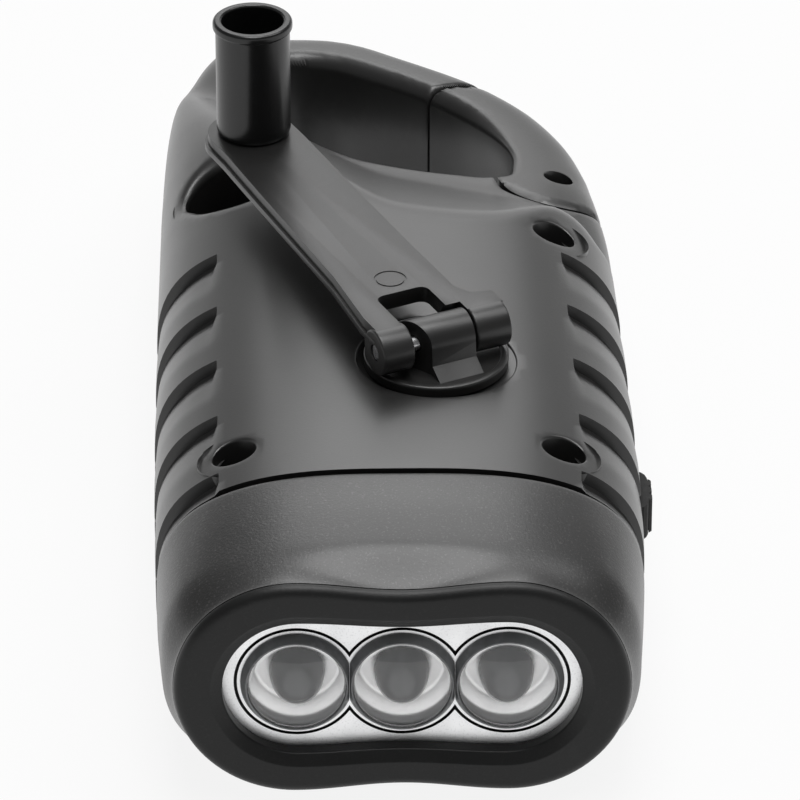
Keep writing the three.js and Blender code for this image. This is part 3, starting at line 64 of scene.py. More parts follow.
class FlashlightSettings(bpy.types.PropertyGroup):
    rib_depth: FloatProperty(
        name="Rib depth", description="Depth of the scoop ahead of each grip rib",
        default=0.00125, min=0.0, unit="LENGTH")
    socket_lip: FloatProperty(
        name="Socket lip", description="Radius of the rounded edge of the knob socket",
        default=0.0019, min=0.0001, unit="LENGTH")
    opening_lip: FloatProperty(
        name="Hook lip", description="Radius of the rounded edge of the hook opening",
        default=0.0021, min=0.0001, unit="LENGTH")
    screw_lip: FloatProperty(
        name="Screw hole lip", description="Radius of the rounded edge of the screw holes",
        default=0.0003, min=0.0001, unit="LENGTH")
    grid_step: FloatProperty(
        name="Skin step", description="Distance between the points of the case skin",
        default=0.0009, min=0.0004, unit="LENGTH")
    knob_height: FloatProperty(
        name="Knob height", description="Height of the crank knob",
        default=knob_high.z - knob_low.z, unit="LENGTH")
    knob_segments: IntProperty(
        name="Turned segments", description="Segments round a turned piece", default=96, min=16)
    edge_round: FloatProperty(
        name="Edge rounding", description="Radius on the edges of the moulded crank pieces",
        default=0.00028, min=0.0, unit="LENGTH")
    screw_head: FloatProperty(
        name="Screw head", description="Radius of the case screw heads", default=0.00205, unit="LENGTH")
    case_colour: FloatVectorProperty(
        name="Case colour", description="Colour of the case plastic", subtype="COLOR",
        default=(0.013, 0.0128, 0.0126), min=0.0, max=1.0)
    head_colour: FloatVectorProperty(
        name="Head colour", description="Colour of the grained head plastic", subtype="COLOR",
        default=(0.017, 0.0167, 0.0165), min=0.0, max=1.0)
    bezel_colour: FloatVectorProperty(
        name="Bezel colour", description="Colour of the lamp bezel", subtype="COLOR",
        default=(0.012, 0.0122, 0.0122), min=0.0, max=1.0)
    knob_colour: FloatVectorProperty(
        name="Knob colour", description="Colour of the knob", subtype="COLOR",
        default=(0.006, 0.0062, 0.0064), min=0.0, max=1.0)


def settings():
    return bpy.context.scene.flashlight


# Shader maths


class Value:
    """A shader socket that takes part in Python expressions."""

    def __init__(self, tree, socket):
        self.tree = tree
        self.socket = socket

    def maths(self, operation, *others, **extra):
        node = self.tree.node("ShaderNodeMath", {"operation": operation, **extra},
                              {i: other for i, other in enumerate((self, *others))})
        return Value(self.tree, node.outputs[0])

    def __add__(self, other):
        return self.maths("ADD", other)

    __radd__ = __add__

    def __mul__(self, other):
        return self.maths("MULTIPLY", other)

    __rmul__ = __mul__

    def __sub__(self, other):
        return self.maths("SUBTRACT", other)

    def __rsub__(self, other):
        return (self * -1) + other

    def above(self, edge, width):
        """0 below an edge and 1 above it, with a soft step as wide as width."""
        return ((self - edge) * (1 / width)).clamped()

    def clamped(self):
        return self.maths("ADD", 0.0, use_clamp=True)


class Tree:
    """A node tree and the one method that makes its nodes."""

    def __init__(self, tree):
        self.tree = tree

    def node(self, kind, options=None, inputs=None):
        made = self.tree.nodes.new(kind)
        for name, option in (options or {}).items():
            if name == "stops":
                ramp = made.color_ramp
                for i, (place, colour) in enumerate(option):
                    element = ramp.elements[i] if i < len(ramp.elements) else ramp.elements.new(place)
                    element.position = place
                    element.color = colour
            else:
                setattr(made, name, option)
        for name, value in (inputs or {}).items():
            self.give(made.inputs[name], value)
        return made

    def give(self, socket, value):
        if isinstance(value, Value):
            self.tree.links.new(value.socket, socket)
        elif isinstance(value, bpy.types.NodeSocket):
            self.tree.links.new(value, socket)
        elif value is not None:
            socket.default_value = value

    def out(self, kind, output, options=None, inputs=None):
        return Value(self, self.node(kind, options, inputs).outputs[output])

    def place(self):
        return self.out("ShaderNodeTexCoord", "Object")

    def noise(self, size, detail=2.0, roughness=0.5):
        """Noise whose grain is as wide as size, in metres."""
        return self.out("ShaderNodeTexNoise", "Fac", None, {
            "Vector": self.place(), "Scale": 1 / size, "Detail": detail, "Roughness": roughness})

    def blend(self, mask, first, second):
        made = self.node("ShaderNodeMix", {"data_type": "RGBA"}, {0: mask, 6: first, 7: second})
        return Value(self, made.outputs[2])

    def bump(self, height, distance):
        return self.out("ShaderNodeBump", "Normal", None, {"Height": height, "Distance": distance})


def cleared(owner):
    """The emptied node tree of a material or world."""
    owner.use_nodes = True
    owner.node_tree.nodes.clear()
    return Tree(owner.node_tree)


def ray_kinds(tree):
    """Whether a ray comes from the camera, from a mirroring or through something clear."""
    rays = tree.node("ShaderNodeLightPath")
    return [Value(tree, rays.outputs[f"Is {kind} Ray"]) for kind in ("Camera", "Glossy", "Transmission")]


def shader(name, **constants):
    """A material with one Principled shader, and its tree."""
    material = bpy.data.materials.new(name)
    tree = cleared(material)
    surface = tree.node("ShaderNodeBsdfPrincipled", None, {
        key.replace("_", " "): value for key, value in constants.items()})
    tree.node("ShaderNodeOutputMaterial", None, {"Surface": surface.outputs[0]})
    return material, tree, surface


def shade(colour, factor):
    return (*[min(1.0, c * factor) for c in colour[:3]], 1.0)


CLOUD_SIZE = 0.009
CLOUD_EDGE, CLOUD_WIDTH = 0.35, 0.3
GRAIN_DETAIL, GRAIN_ROUGHNESS = 3.0, 0.6
SPECK_SIZE_SHARE = 0.8
SPECK_EDGE, SPECK_WIDTH, SPECK_LIGHT = 0.6, 0.12, 4.0
WEAR_EDGE, WEAR_WIDTH = 0.53, 0.06
SCUFF_SIZE, SCUFF_STRENGTH, SCUFF_LIGHT = 0.0011, 0.25, 2.2
SCUFF_EDGE, SCUFF_WIDTH = 0.45, 0.2
COAT_ROUGHNESS = 0.25
METAL_CLOUD_SIZE = 0.004
TARNISH_EDGE, TARNISH_WIDTH = 0.58, 0.08
DUST_SIZE = 0.0006
DUST_EDGE, DUST_WIDTH = 0.66, 0.06


def moulded(name, colour, roughness, grain, height, speckle=0.0, cloud=0.1, shine=0.5, coat=0.0):
    """Moulded plastic: fine grain, slight cloudiness, worn edges."""
    material, tree, surface = shader(
        name, Specular_IOR_Level=shine, Coat_Weight=coat, Coat_Roughness=COAT_ROUGHNESS)
    fine = tree.noise(grain, GRAIN_DETAIL, GRAIN_ROUGHNESS)
    broad = tree.noise(CLOUD_SIZE)
    share = broad.above(CLOUD_EDGE, CLOUD_WIDTH)
    tint = tree.blend(share, shade(colour, 1 - cloud), shade(colour, 1 + cloud))
    if speckle:
        dots = tree.noise(grain * SPECK_SIZE_SHARE, 1.0).above(SPECK_EDGE, SPECK_WIDTH)
        tint = tree.blend(dots * speckle, tint, shade(colour, SPECK_LIGHT))
    edges = tree.out("ShaderNodeNewGeometry", "Pointiness").above(WEAR_EDGE, WEAR_WIDTH)
    scuff = edges * tree.noise(SCUFF_SIZE, 3.0).above(SCUFF_EDGE, SCUFF_WIDTH)
    tint = tree.blend(scuff * SCUFF_STRENGTH, tint, shade(colour, SCUFF_LIGHT))
    tree.give(surface.inputs["Base Color"], tint)
    tree.give(surface.inputs["Roughness"], broad * 0.1 + fine * 0.08 + (roughness - 0.09))
    tree.give(surface.inputs["Normal"], tree.bump(fine, height))
    return material


def metal(name, colour, roughness, grain=0.0004, height=0.000004, speckle=0.0):
    """Bright metal or plating with fine marks."""
    material, tree, surface = shader(name, Metallic=1.0)
    fine = tree.noise(grain, 3.0)
    broad = tree.noise(METAL_CLOUD_SIZE)
    tint = tree.blend(broad.above(0.3, 0.4), shade(colour, 0.9), shade(colour, 1.05))
    if speckle:
        dots = tree.noise(grain, 1.0).above(TARNISH_EDGE, TARNISH_WIDTH)
        tint = tree.blend(dots * speckle, tint, shade(colour, 0.45))
    tree.give(surface.inputs["Base Color"], tint)
    tree.give(surface.inputs["Roughness"], fine * 0.12 + (roughness - 0.06))
    tree.give(surface.inputs["Normal"], tree.bump(fine, height))
    return material


def clear_plastic(name):
    """Clear plastic that also lets the lamps' light through to what lies behind it."""
    material, tree, surface = shader(
        name, IOR=1.49, Transmission_Weight=1.0, Specular_IOR_Level=0.5)
    dust = tree.noise(DUST_SIZE).above(DUST_EDGE, DUST_WIDTH)
    tree.give(surface.inputs["Base Color"], tree.blend(dust * 0.2, (1, 1, 1, 1), (0.75, 0.76, 0.78, 1)))
    tree.give(surface.inputs["Roughness"], dust * 0.08 + 0.02)
    rays = tree.node("ShaderNodeLightPath")
    through = tree.node("ShaderNodeBsdfTransparent")
    mixed = tree.node("ShaderNodeMixShader", None, {
        0: rays.outputs["Is Shadow Ray"], 1: surface.outputs[0], 2: through.outputs[0]})
    tree.give(material.node_tree.nodes["Material Output"].inputs["Surface"], mixed.outputs[0])
    return material


finishes = {}


def make_finishes():
    """Every finish. Numbers are colour, roughness, grain size and grain height in metres."""
    own = settings()
    finishes["case"] = moulded("Satin case plastic", own.case_colour, 0.4, 0.00028, 0.000009, coat=0.45)
    finishes["head"] = moulded("Grained head plastic", own.head_colour, 0.44, 0.0003, 0.00004,
                               speckle=0.7, coat=0.35)
    finishes["arm"] = moulded("Satin crank plastic", own.case_colour, 0.4, 0.00025, 0.000008, coat=0.2)
    finishes["bezel"] = moulded("Dark bezel plastic", own.bezel_colour, 0.4, 0.00035, 0.00002,
                                speckle=0.1, shine=0.3)
    finishes["knob"] = moulded("Gloss knob plastic", own.knob_colour, 0.25, 0.0005, 0.000003, shine=0.5)
    # Matt black for the inner pieces; on the lamp plate it is also painted shade in the grooves round the
    # lenses.
    finishes["inside"] = moulded("Matt black plastic", (0.02, 0.02, 0.02), 0.6, 0.0003, 0.00001, shine=0.15)
    finishes["lamp_board"] = moulded("Grey lamp board", (0.16, 0.165, 0.16), 0.5, 0.0003, 0.00001, shine=0.2)
    finishes["lamp"] = moulded("Grey lamp resin", (0.06, 0.062, 0.065), 0.2, 0.0012, 0.000002, cloud=0.3)
    # Grey for the collar of the clear lenses: painted shade, standing in for the dim inside seen through the
    # clear collar.
    finishes["collar"] = moulded("Lens collar painted grey shade", (0.2, 0.205, 0.21), 0.3, 0.0006, 0.00002, cloud=0.3)
    finishes["gear"] = moulded("Natural gear plastic", (0.72, 0.69, 0.6), 0.45, 0.0004, 0.000006, cloud=0.04)
    finishes["solar"] = moulded("Solar cell", (0.01, 0.02, 0.06), 0.3, 0.0006, 0.000002, shine=0.6)
    finishes["board"] = moulded("Green board", (0.02, 0.11, 0.05), 0.45, 0.0004, 0.000005)
    finishes["lead"] = moulded("Red lead insulation", (0.4, 0.016, 0.014), 0.4, 0.0005, 0.000005)
    finishes["chrome"] = metal("Chromed reflector", (0.97, 0.972, 0.975), 0.36, 0.0003, 0.000002)
    finishes["plate"] = metal("Chromed grained plate", (0.93, 0.935, 0.94), 0.4, 0.00022, 0.00001,
                              speckle=0.2)
    finishes["steel"] = metal("Bright steel", (0.6, 0.6, 0.61), 0.28)
    finishes["screw"] = metal("Blackened steel", (0.12, 0.12, 0.125), 0.35)
    finishes["copper"] = metal("Wound copper", (0.75, 0.32, 0.16), 0.3)
    finishes["magnet"] = metal("Sintered magnet", (0.16, 0.16, 0.17), 0.6, 0.0003, 0.00001)
    finishes["clear"] = clear_plastic("Clear lens plastic")


# Mesh making. Shapes are worked out in millimetres and stored in metres.


def linked(name, mesh):
    piece = bpy.data.objects.new(name, mesh)
    bpy.context.scene.collection.objects.link(piece)
    return piece


def delete(piece):
    mesh = piece.data
    bpy.data.objects.remove(piece)
    bpy.data.meshes.remove(mesh)


def make_object(name, points, faces=(), edges=()):
    """A linked object from points in millimetres, with faces or with loose edges."""
    mesh = bpy.data.meshes.new(name)
    faces = [tuple(int(i) for i in face) for face in faces]
    mesh.from_pydata((np.asarray(points, float) * MM).tolist(), edges, faces)
    return linked(name, mesh)


MERGE = 1e-7
SKIN_MERGE = 1e-6
SHARP = 38.0


def soften(piece, degrees=SHARP, merge=MERGE, recalculate=True):
    """Joins doubled points, turns the faces out, and shades smooth with sharp edges over an angle."""
    work = bmesh.new()
    work.from_mesh(piece.data)
    bmesh.ops.remove_doubles(work, verts=work.verts, dist=merge)
    bmesh.ops.dissolve_degenerate(work, edges=work.edges, dist=1e-8)
    if recalculate:
        bmesh.ops.recalc_face_normals(work, faces=work.faces)
    limit = math.radians(degrees)
    for face in work.faces:
        face.smooth = True
    for edge in work.edges:
        edge.smooth = not (edge.is_manifold and edge.calc_face_angle(0.0) > limit)
    work.to_mesh(piece.data)
    work.free()
    return piece


def applied(piece):
    """Turns a piece with modifiers into a plain mesh."""
    graph = bpy.context.evaluated_depsgraph_get()
    graph.update()
    mesh = bpy.data.meshes.new_from_object(piece.evaluated_get(graph))
    old = piece.data
    piece.modifiers.clear()
    piece.data = mesh
    mesh.name = piece.name
    bpy.data.meshes.remove(old)
    return piece


def carve(piece, tool, operation="DIFFERENCE"):
    """Joins, cuts or intersects with another closed mesh, which is used up."""
    modifier = piece.modifiers.new("carve", "BOOLEAN")
    modifier.operation = operation
    modifier.solver = "MANIFOLD"
    modifier.object = tool
    applied(piece)
    delete(tool)
    return piece


def round_edges(piece, radius, degrees=35.0, segments=3):
    modifier = piece.modifiers.new("rounding", "BEVEL")
    modifier.width = radius
    modifier.segments = segments
    modifier.limit_method = "ANGLE"
    modifier.angle_limit = math.radians(degrees)
    modifier.use_clamp_overlap = True
    modifier.miter_outer = "MITER_ARC"
    applied(piece)
    return soften(piece, 60.0)


def dress(piece, body, slot, finish, *nodes):
    piece.data.materials.clear()
    piece.data.materials.append(finishes[finish])
    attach(piece, body)
    if nodes:
        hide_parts(*nodes)
    return piece


def paint_part(piece, finish, chosen):
    """Gives the faces whose middle is chosen a second finish."""
    piece.data.materials.append(finishes[finish])
    for face in piece.data.polygons:
        if chosen(*(face.center / MM)):
            face.material_index = 1


def joined(name, pieces):
    """Several closed skins kept together as one mesh."""
    work = bmesh.new()
    for piece in pieces:
        work.from_mesh(piece.data)
        delete(piece)
    mesh = bpy.data.meshes.new(name)
    work.to_mesh(mesh)
    work.free()
    return linked(name, mesh)


def paint(finish, *nodes):
    """Gives carried-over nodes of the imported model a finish."""
    for name in nodes:
        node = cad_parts[name]
        if not node.material_slots:
            node.data.materials.append(finishes[finish])
        for slot in node.material_slots:
            slot.material = finishes[finish]


def loft_faces(rings, count, closed):
    """Quads between rings of points that run the same way."""
    faces = []
    last = rings if closed else rings - 1
    for ring in range(last):
        after = (ring + 1) % rings
        for i in range(count):
            j = (i + 1) % count
            faces.append((ring * count + i, ring * count + j, after * count + j, after * count + i))
    return faces


def loft(name, rings, closed=False, split=False):
    """A skin through rings of points, with flat ends unless its last ring meets its first.

    split turns the ends into triangles, which an end that bends inwards needs before it is cut."""
    count = len(rings[0])
    faces = loft_faces(len(rings), count, closed)
    if not closed:
        faces.append(tuple(range(count)))
        faces.append(tuple(range((len(rings) - 1) * count, len(rings) * count)))
    piece = make_object(name, np.concatenate(rings), faces)
    if split:
        work = bmesh.new()
        work.from_mesh(piece.data)
        bmesh.ops.triangulate(work, faces=[face for face in work.faces if len(face.verts) > 4])
        work.to_mesh(piece.data)
        work.free()
    return soften(piece)


def prism(name, outline, low, high):
    outline = np.asarray(outline, float)
    rings = [np.column_stack([outline, np.full(len(outline), z)]) for z in (low, high)]
    return loft(name, rings)


def circle(x, y, radius, count):
    turn = np.linspace(0, 2 * np.pi, count, endpoint=False)
    return np.column_stack([x + radius * np.cos(turn), y + radius * np.sin(turn)])


def arc(x, y, radius, start, end, count):
    turn = np.radians(np.linspace(start, end, count))
    return np.column_stack([x + radius * np.cos(turn), y + radius * np.sin(turn)])


def inside(points, outline):
    """Which points lie inside a closed outline."""
    x, y = points[:, 0], points[:, 1]
    found = np.zeros(len(points), bool)
    a = np.asarray(outline)
    b = np.roll(a, -1, axis=0)
    for (ax, ay), (bx, by) in zip(a, b):
        if ay == by:
            continue
        crosses = ((ay > y) != (by > y)) & (x < (bx - ax) * (y - ay) / (by - ay) + ax)
        found ^= crosses
    return found


def distance_to(points, outline):
    """Plan distance from points to a closed outline."""
    best = np.full(len(points), 1e9)
    a = np.asarray(outline)
    b = np.roll(a, -1, axis=0)
    for start, end in zip(a, b):
        along = end - start
        length = max(along @ along, 1e-12)
        t = np.clip(((points - start) @ along) / length, 0, 1)
        gap = points - start - t[:, None] * along
        best = np.minimum(best, np.einsum("ij,ij->i", gap, gap))
    return np.sqrt(best)


def evenly(outline, step):
    """A closed outline with no side longer than a step."""
    points = []
    outline = np.asarray(outline, float)
    for start, end in zip(outline, np.roll(outline, -1, axis=0)):
        pieces = max(1, int(math.ceil(np.linalg.norm(end - start) / step)))
        for i in range(pieces):
            points.append(start + (end - start) * i / pieces)
    return np.array(points)


def nearest(points, others):
    """The distance in the plane from each point to the nearest of some others."""
    finder = kdtree.KDTree(len(others))
    for i, (x, y) in enumerate(others):
        finder.insert((x, y, 0), i)
    finder.balance()
    return np.array([finder.find((x, y, 0))[2] for x, y in points])


# Turned pieces, made by one Geometry Nodes tree from a profile of radius and height


def start_group(name, inputs):
    """A Geometry Nodes group with named inputs, given as name and kind, and one output."""
    group = bpy.data.node_groups.new(name, "GeometryNodeTree")
    for title, kind in inputs:
        group.interface.new_socket(title, in_out="INPUT", socket_type="NodeSocket" + kind)
    group.interface.new_socket("Geometry", in_out="OUTPUT", socket_type="NodeSocketGeometry")
    tree = Tree(group)
    return group, tree, tree.node("NodeGroupInput")


def finish_group(tree, given, geometry):
    """Ends a group: real geometry with the given material."""
    real = tree.node("GeometryNodeRealizeInstances", None, {"Geometry": geometry})
    finish = tree.node("GeometryNodeSetMaterial", None, {
        "Geometry": real.outputs[0], "Material": given.outputs["Material"]})
    tree.node("NodeGroupOutput", None, {"Geometry": finish.outputs[0]})


def turning_tree():
    """Turns a profile, a line of points with X as radius and Z as height, about Z."""
    name = "Turned piece"
    if name in bpy.data.node_groups:
        return bpy.data.node_groups[name]
    group, tree, given = start_group(name, (
        ("Profile", "Geometry"), ("Segments", "Int"), ("Material", "Material")))
    count = tree.node("GeometryNodeAttributeDomainSize", {"component": "MESH"}, {
        "Geometry": given.outputs["Profile"]})
    segments = Value(tree, given.outputs["Segments"])
    columns = segments + 1
    grid = tree.node("GeometryNodeMeshGrid", None, {
        "Size X": 1.0, "Size Y": 1.0, "Vertices X": columns, "Vertices Y": count.outputs["Point Count"]})
    position = tree.node("GeometryNodeInputPosition")
    split = tree.node("ShaderNodeSeparateXYZ", None, {0: position.outputs[0]})
    rows = Value(tree, count.outputs["Point Count"]) - 1
    row = (Value(tree, split.outputs["Y"]) + 0.5) * rows
    whole = tree.node("FunctionNodeFloatToInt", {"rounding_mode": "ROUND"}, {0: row})
    sample = tree.node("GeometryNodeSampleIndex", {"data_type": "FLOAT_VECTOR", "domain": "POINT"}, {
        "Geometry": given.outputs["Profile"], "Index": whole.outputs[0]})
    tree.tree.links.new(position.outputs[0], sample.inputs["Value"])
    profile = tree.node("ShaderNodeSeparateXYZ", None, {0: sample.outputs[0]})
    radius = Value(tree, profile.outputs["X"])
    turn = (Value(tree, split.outputs["X"]) + 0.5) * (2 * math.pi)
    made = tree.node("ShaderNodeCombineXYZ", None, {
        "X": radius * turn.maths("COSINE"), "Y": radius * turn.maths("SINE"), "Z": profile.outputs["Z"]})
    moved = tree.node("GeometryNodeSetPosition", None, {
        "Geometry": grid.outputs["Mesh"], "Position": made.outputs[0]})
    merged = tree.node("GeometryNodeMergeByDistance", None, {
        "Geometry": moved.outputs[0], "Distance": MERGE})
    finish_group(tree, given, merged.outputs[0])
    return group


def run_tree(source, group, values):
    """Evaluates a Geometry Nodes tree on a source mesh and keeps the result as a plain mesh."""
    modifier = source.modifiers.new("nodes", "NODES")
    modifier.node_group = group
    sockets = {item.name: item.identifier for item in group.interface.items_tree
               if getattr(item, "in_out", "") == "INPUT"}
    for name, value in values.items():
        modifier[sockets[name]] = value
    return applied(source)


def turned(name, profile, finish="steel", place=None, degrees=SHARP):
    """A turned piece about Z, from a profile of (radius, height) that ends on the axis or meets itself."""
    points = [(max(r, 0.0), 0.0, z) for r, z in profile]
    source = make_object(name, points, edges=[(i, i + 1) for i in range(len(points) - 1)])
    piece = run_tree(source, turning_tree(), {
        "Segments": settings().knob_segments, "Material": finishes[finish]})
    if place is not None:
        piece.data.transform(place)
    return soften(piece, degrees)


def rounded(points, radii, steps=5):
    """A profile whose corners are rounded: each corner gets the radius of the same place in radii."""
    points = [np.array(p, float) for p in points]
    result = []
    for i, point in enumerate(points):
        radius = radii.get(i, 0.0)
        if not radius or i in (0, len(points) - 1):
            result.append(point)
            continue
        before = points[i - 1] - point
        after = points[i + 1] - point
        lengths = np.linalg.norm(before), np.linalg.norm(after)
        before, after = before / lengths[0], after / lengths[1]
        half = math.acos(np.clip(before @ after, -1, 1)) / 2
        reach = min(radius / math.tan(half), 0.49 * min(lengths))
        start, end = point + before * reach, point + after * reach
        for k in range(steps + 1):
            t = k / steps
            result.append((1 - t) ** 2 * start + 2 * t * (1 - t) * point + t ** 2 * end)
    return [tuple(p) for p in result]


# Case form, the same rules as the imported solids

FRONT = 72.3
REAR = 67.3
HALF_WIDTH = 27.1
CASE_HEIGHT = 30.5
PART_LINE = 14.5
POWER = 2.9
HEAD_REAR = -55.1
BODY_FRONT = -54.3
HOOK_START = 3.0
SLOPE_FOOT = 21.8
RIBS = 5
FIRST_RIB = 50.6
RIB_PITCH = 12.0
SCOOP_SHARES = ([0, 0.28, 1.4, 2.4, 4.0, 8.0], [0, 1, 0.95, 0.5, 0.3, 0])
RIB_SHARES = ([0, 10, 20, 30, 47, 49.5], [0.3, 0.4, 0.7, 1, 1, 0])
NECK_INSET = 2.1
HOOK_POWER = 4.5
GATE_RISE = 0.7
RISE_X = 15.0
RISE_Y = 20.0
RISE_SPREAD = 128.0
WALL = 1.7
LOWER_POWER = 4.0
LOWER_HEIGHT = 15.2
SECTION_HALF = 26.4
SECTION_STEPS = 20001
SEAM_DEPTH, SEAM_WIDTH = 0.16, 0.4
FLAT_BLEND = 0.5
HOOK_BLEND = 0.9
LIP_ROOM_SHARE = 0.7
SKIN_EDGE = 0.9
SKIN_EDGE_STEPS = np.array([0, 0.12, 0.28, 0.45])
RIB_STEPS = (0.3, 0.08, 0.0, -0.1, -0.2, -0.28, -0.45, -0.9, -1.4, -1.9, -2.4)
RIB_CLEAR = (-2.8, 0.5)
REAR_STEPS = (0.0, 0.12, 0.3, 0.6, 1.0, 1.5, 2.1)
FRONT_STEPS = (0.0, 0.12, 0.3)
LEAST_STEP = 0.05
EDGE_STEP = 0.42
LIP_STEP = 0.6
BOX_STEP = 0.8
WIDE_LIP = 1.0
WIDE_LIP_STEPS, LIP_STEPS = (0.03, 0.12, 0.3, 0.6, 1.0), (0.15, 0.5, 1.0)
LIP_KEEP_SHARE = 0.93
GRID_CLEAR, BORDER_CLEAR, LIP_CLEAR = 0.33, 0.02, 0.015
CLOSE = 0.01
NEARLY, TINY = 0.001, 1e-6
OPENING_REACH = 0.4
FLOOR_REACH = 0.1
NECK_LENGTH = 5.0

# Columns: place along the case, left side, right side, top, underside, power of the lower section
CASE_SHARES = np.array([
    [-1, -0.886, 0.886, 0.835, 0.89, 2.4],
    [-0.988, -0.908, 0.908, 0.858, 0.931, 2.5],
    [-0.968, -0.926, 0.926, 0.886, 0.966, 2.6],
    [-0.941, -0.935, 0.935, 0.914, 0.993, 2.8],
    [-0.885, -0.945, 0.945, 0.958, 1.034, 3.3],
    [-0.83, -0.954, 0.956, 0.988, 1.048, 3.8],
    [-0.751, -0.967, 0.97, 1, 1.048, 4],
    [-0.581, -0.982, 0.985, 1, 1.048, 4],
    [-0.346, -0.993, 0.978, 1, 1.048, 4],
    [-0.083, -0.998, 0.963, 1, 1.048, 4],
    [0, -1, 0.956, 0.488, 1.048, 4],
    [0.104, -1, 0.948, 0.488, 1.048, 4],
    [0.223, -1, 0.937, 0.488, 1.028, 4],
    [0.297, -1, 0.921, 0.488, 1, 3.8],
    [0.357, -1, 0.904, 0.488, 0.966, 3.5],
    [0.401, -0.998, 0.889, 0.481, 0.917, 3.3],
    [0.461, -0.996, 0.867, 0.475, 0.807, 3],
    [0.565, -0.989, 0.801, 0.469, 0.717, 2.9],
    [0.661, -0.974, 0.69, 0.469, 0.683, 2.9],
    [0.728, -0.956, 0.568, 0.469, 0.676, 2.9],
    [0.79, -0.926, 0.417, 0.462, 0.669, 2.9],
    [0.874, -0.882, 0.133, 0.45, 0.662, 2.9],
    [0.932, -0.823, -0.063, 0.419, 0.634, 2.9],
    [0.966, -0.76, -0.24, 0.356, 0.586, 2.9],
    [0.988, -0.686, -0.38, 0.231, 0.414, 2.9],
    [1, -0.609, -0.509, 0.106, 0.207, 2.9],
])
# Columns: place across, crest along, crest height, foot along, tail length
SLOPE_SHARES = np.array([
    [-1.033, 0.357, 1, 0.698, 0.3], [-0.775, 0.357, 1, 0.684, 0.3], [-0.646, 0.342, 1, 0.661, 0.3],
    [-0.554, 0.312, 1, 0.632, 0.3], [-0.435, 0.26, 1, 0.579, 0.25], [-0.295, 0.186, 1, 0.513, 0.15],
    [-0.179, 0.135, 1, 0.461, 0.07], [-0.068, 0.082, 1, 0.425, 0.037], [0.026, 0.055, 1, 0.407, 0.037],
    [0.118, 0.043, 1, 0.394, 0.037], [0.303, 0.034, 0.988, 0.366, 0.037], [0.454, 0.048, 0.956, 0.34, 0.037],
    [0.568, 0.083, 0.913, 0.312, 0.037], [0.635, 0.11, 0.869, 0.291, 0.037],
    [0.686, 0.123, 0.831, 0.27, 0.037], [0.742, 0.123, 0.781, 0.244, 0.037],
    [0.815, 0.111, 0.688, 0.196, 0.037], [0.878, 0.092, 0.562, 0.126, 0.037],
    [1.015, 0.037, 0.5, 0.059, 0.037],
])
LIP_SHARES = ([22, 24, 34, 44], [1, 0.3, 0.3, 1])
SLOPE_SIDE = (-0.9, -0.55)
SLOPE_ROUNDING = (5.0, 0.9)
HOOK_SHARES = np.array([
    [0.513, 0.385], [0.417, 0.373], [0.277, 0.388], [0.052, 0.422], [-0.15, 0.461], [-0.336, 0.516],
    [-0.472, 0.6], [-0.575, 0.69], [-0.613, 0.765], [-0.553, 0.832], [-0.417, 0.862], [-0.258, 0.848],
    [-0.114, 0.813], [0.14, 0.733], [0.336, 0.65], [0.465, 0.557], [0.531, 0.476], [0.531, 0.42],
])


def outline_at(y):
    """Left, right, top, under and lower power of the case at places along it, by columns."""
    y = np.atleast_1d(np.asarray(y, float))
    share = np.clip(np.where(y < 0, y / FRONT, y / REAR), -1, 1)
    last = len(CASE_SHARES) - 1
    i = np.clip(np.searchsorted(CASE_SHARES[:, 0], share), 1, last)
    start, end = CASE_SHARES[i - 1], CASE_SHARES[i]
    before, after = CASE_SHARES[np.maximum(i - 2, 0)], CASE_SHARES[np.minimum(i + 1, last)]
    span = (end - start)[:, :1]
    t = (share[:, None] - start[:, :1]) / span
    before_span = np.where(i[:, None] < 2, span, (end - before)[:, :1])
    after_span = np.where(i[:, None] >= last, span, (after - start)[:, :1])
    start_slope = np.where(i[:, None] < 2, end - start, end - before) / before_span
    end_slope = np.where(i[:, None] >= last, end - start, after - start) / after_span
    bend = t * t * (3 - 2 * t)
    rise = t * (1 - t) ** 2 * span * start_slope - t * t * (1 - t) * span * end_slope
    return (start + (end - start) * bend + rise)[:, 1:]


def curve_at(table, column, x):
    """A smooth reading of a column of a table against its first column."""
    keys, values = table[:, 0], table[:, column]
    slopes = np.gradient(values, keys)
    i = np.clip(np.searchsorted(keys, x) - 1, 0, len(keys) - 2)
    span = keys[i + 1] - keys[i]
    t = np.clip((x - keys[i]) / span, 0, 1)
    return ((1 + 2 * t) * (1 - t) ** 2 * values[i] + t * (1 - t) ** 2 * span * slopes[i]
            + t * t * (3 - 2 * t) * values[i + 1] - t * t * (1 - t) * span * slopes[i + 1])


def soft_low(a, b, width):
    """The lower of two heights, with a rounded change from one to the other."""
    step = np.maximum(width - np.abs(a - b), 0) / width
    return np.minimum(a, b) - step * step * width / 4


def soft_high(a, b, width):
    return -soft_low(-a, -b, width)


def scoop_depth(y):
    """How deep the scoop ahead of a rib is."""
    depth = np.zeros_like(y)
    rib_depth = settings().rib_depth / MM
    for rib in range(RIBS):
        ahead = -FIRST_RIB + rib * RIB_PITCH - y
        depth += rib_depth * np.interp(ahead, *SCOOP_SHARES, left=0, right=0)
    return depth


def rib_share(degrees):
    from_side = np.minimum(np.abs(degrees), np.abs(180 - np.abs(degrees)))
    return np.interp(from_side, *RIB_SHARES)


def slope_height(x, y):
    """Height of the slope from the raised case down to the hook."""
    across = x / HALF_WIDTH
    crest_y = curve_at(SLOPE_SHARES, 1, across) * REAR
    crest_z = PART_LINE + curve_at(SLOPE_SHARES, 2, across) * (CASE_HEIGHT - PART_LINE)
    foot_y = curve_at(SLOPE_SHARES, 3, across) * REAR
    tail = curve_at(SLOPE_SHARES, 4, across) * REAR
    fall = (crest_z - SLOPE_FOOT) / (foot_y - crest_y)
    slope = crest_z - (y - crest_y) * fall
    behind = SLOPE_FOOT - (y - foot_y) * (SLOPE_FOOT - PART_LINE) / tail
    return np.minimum(slope, behind)


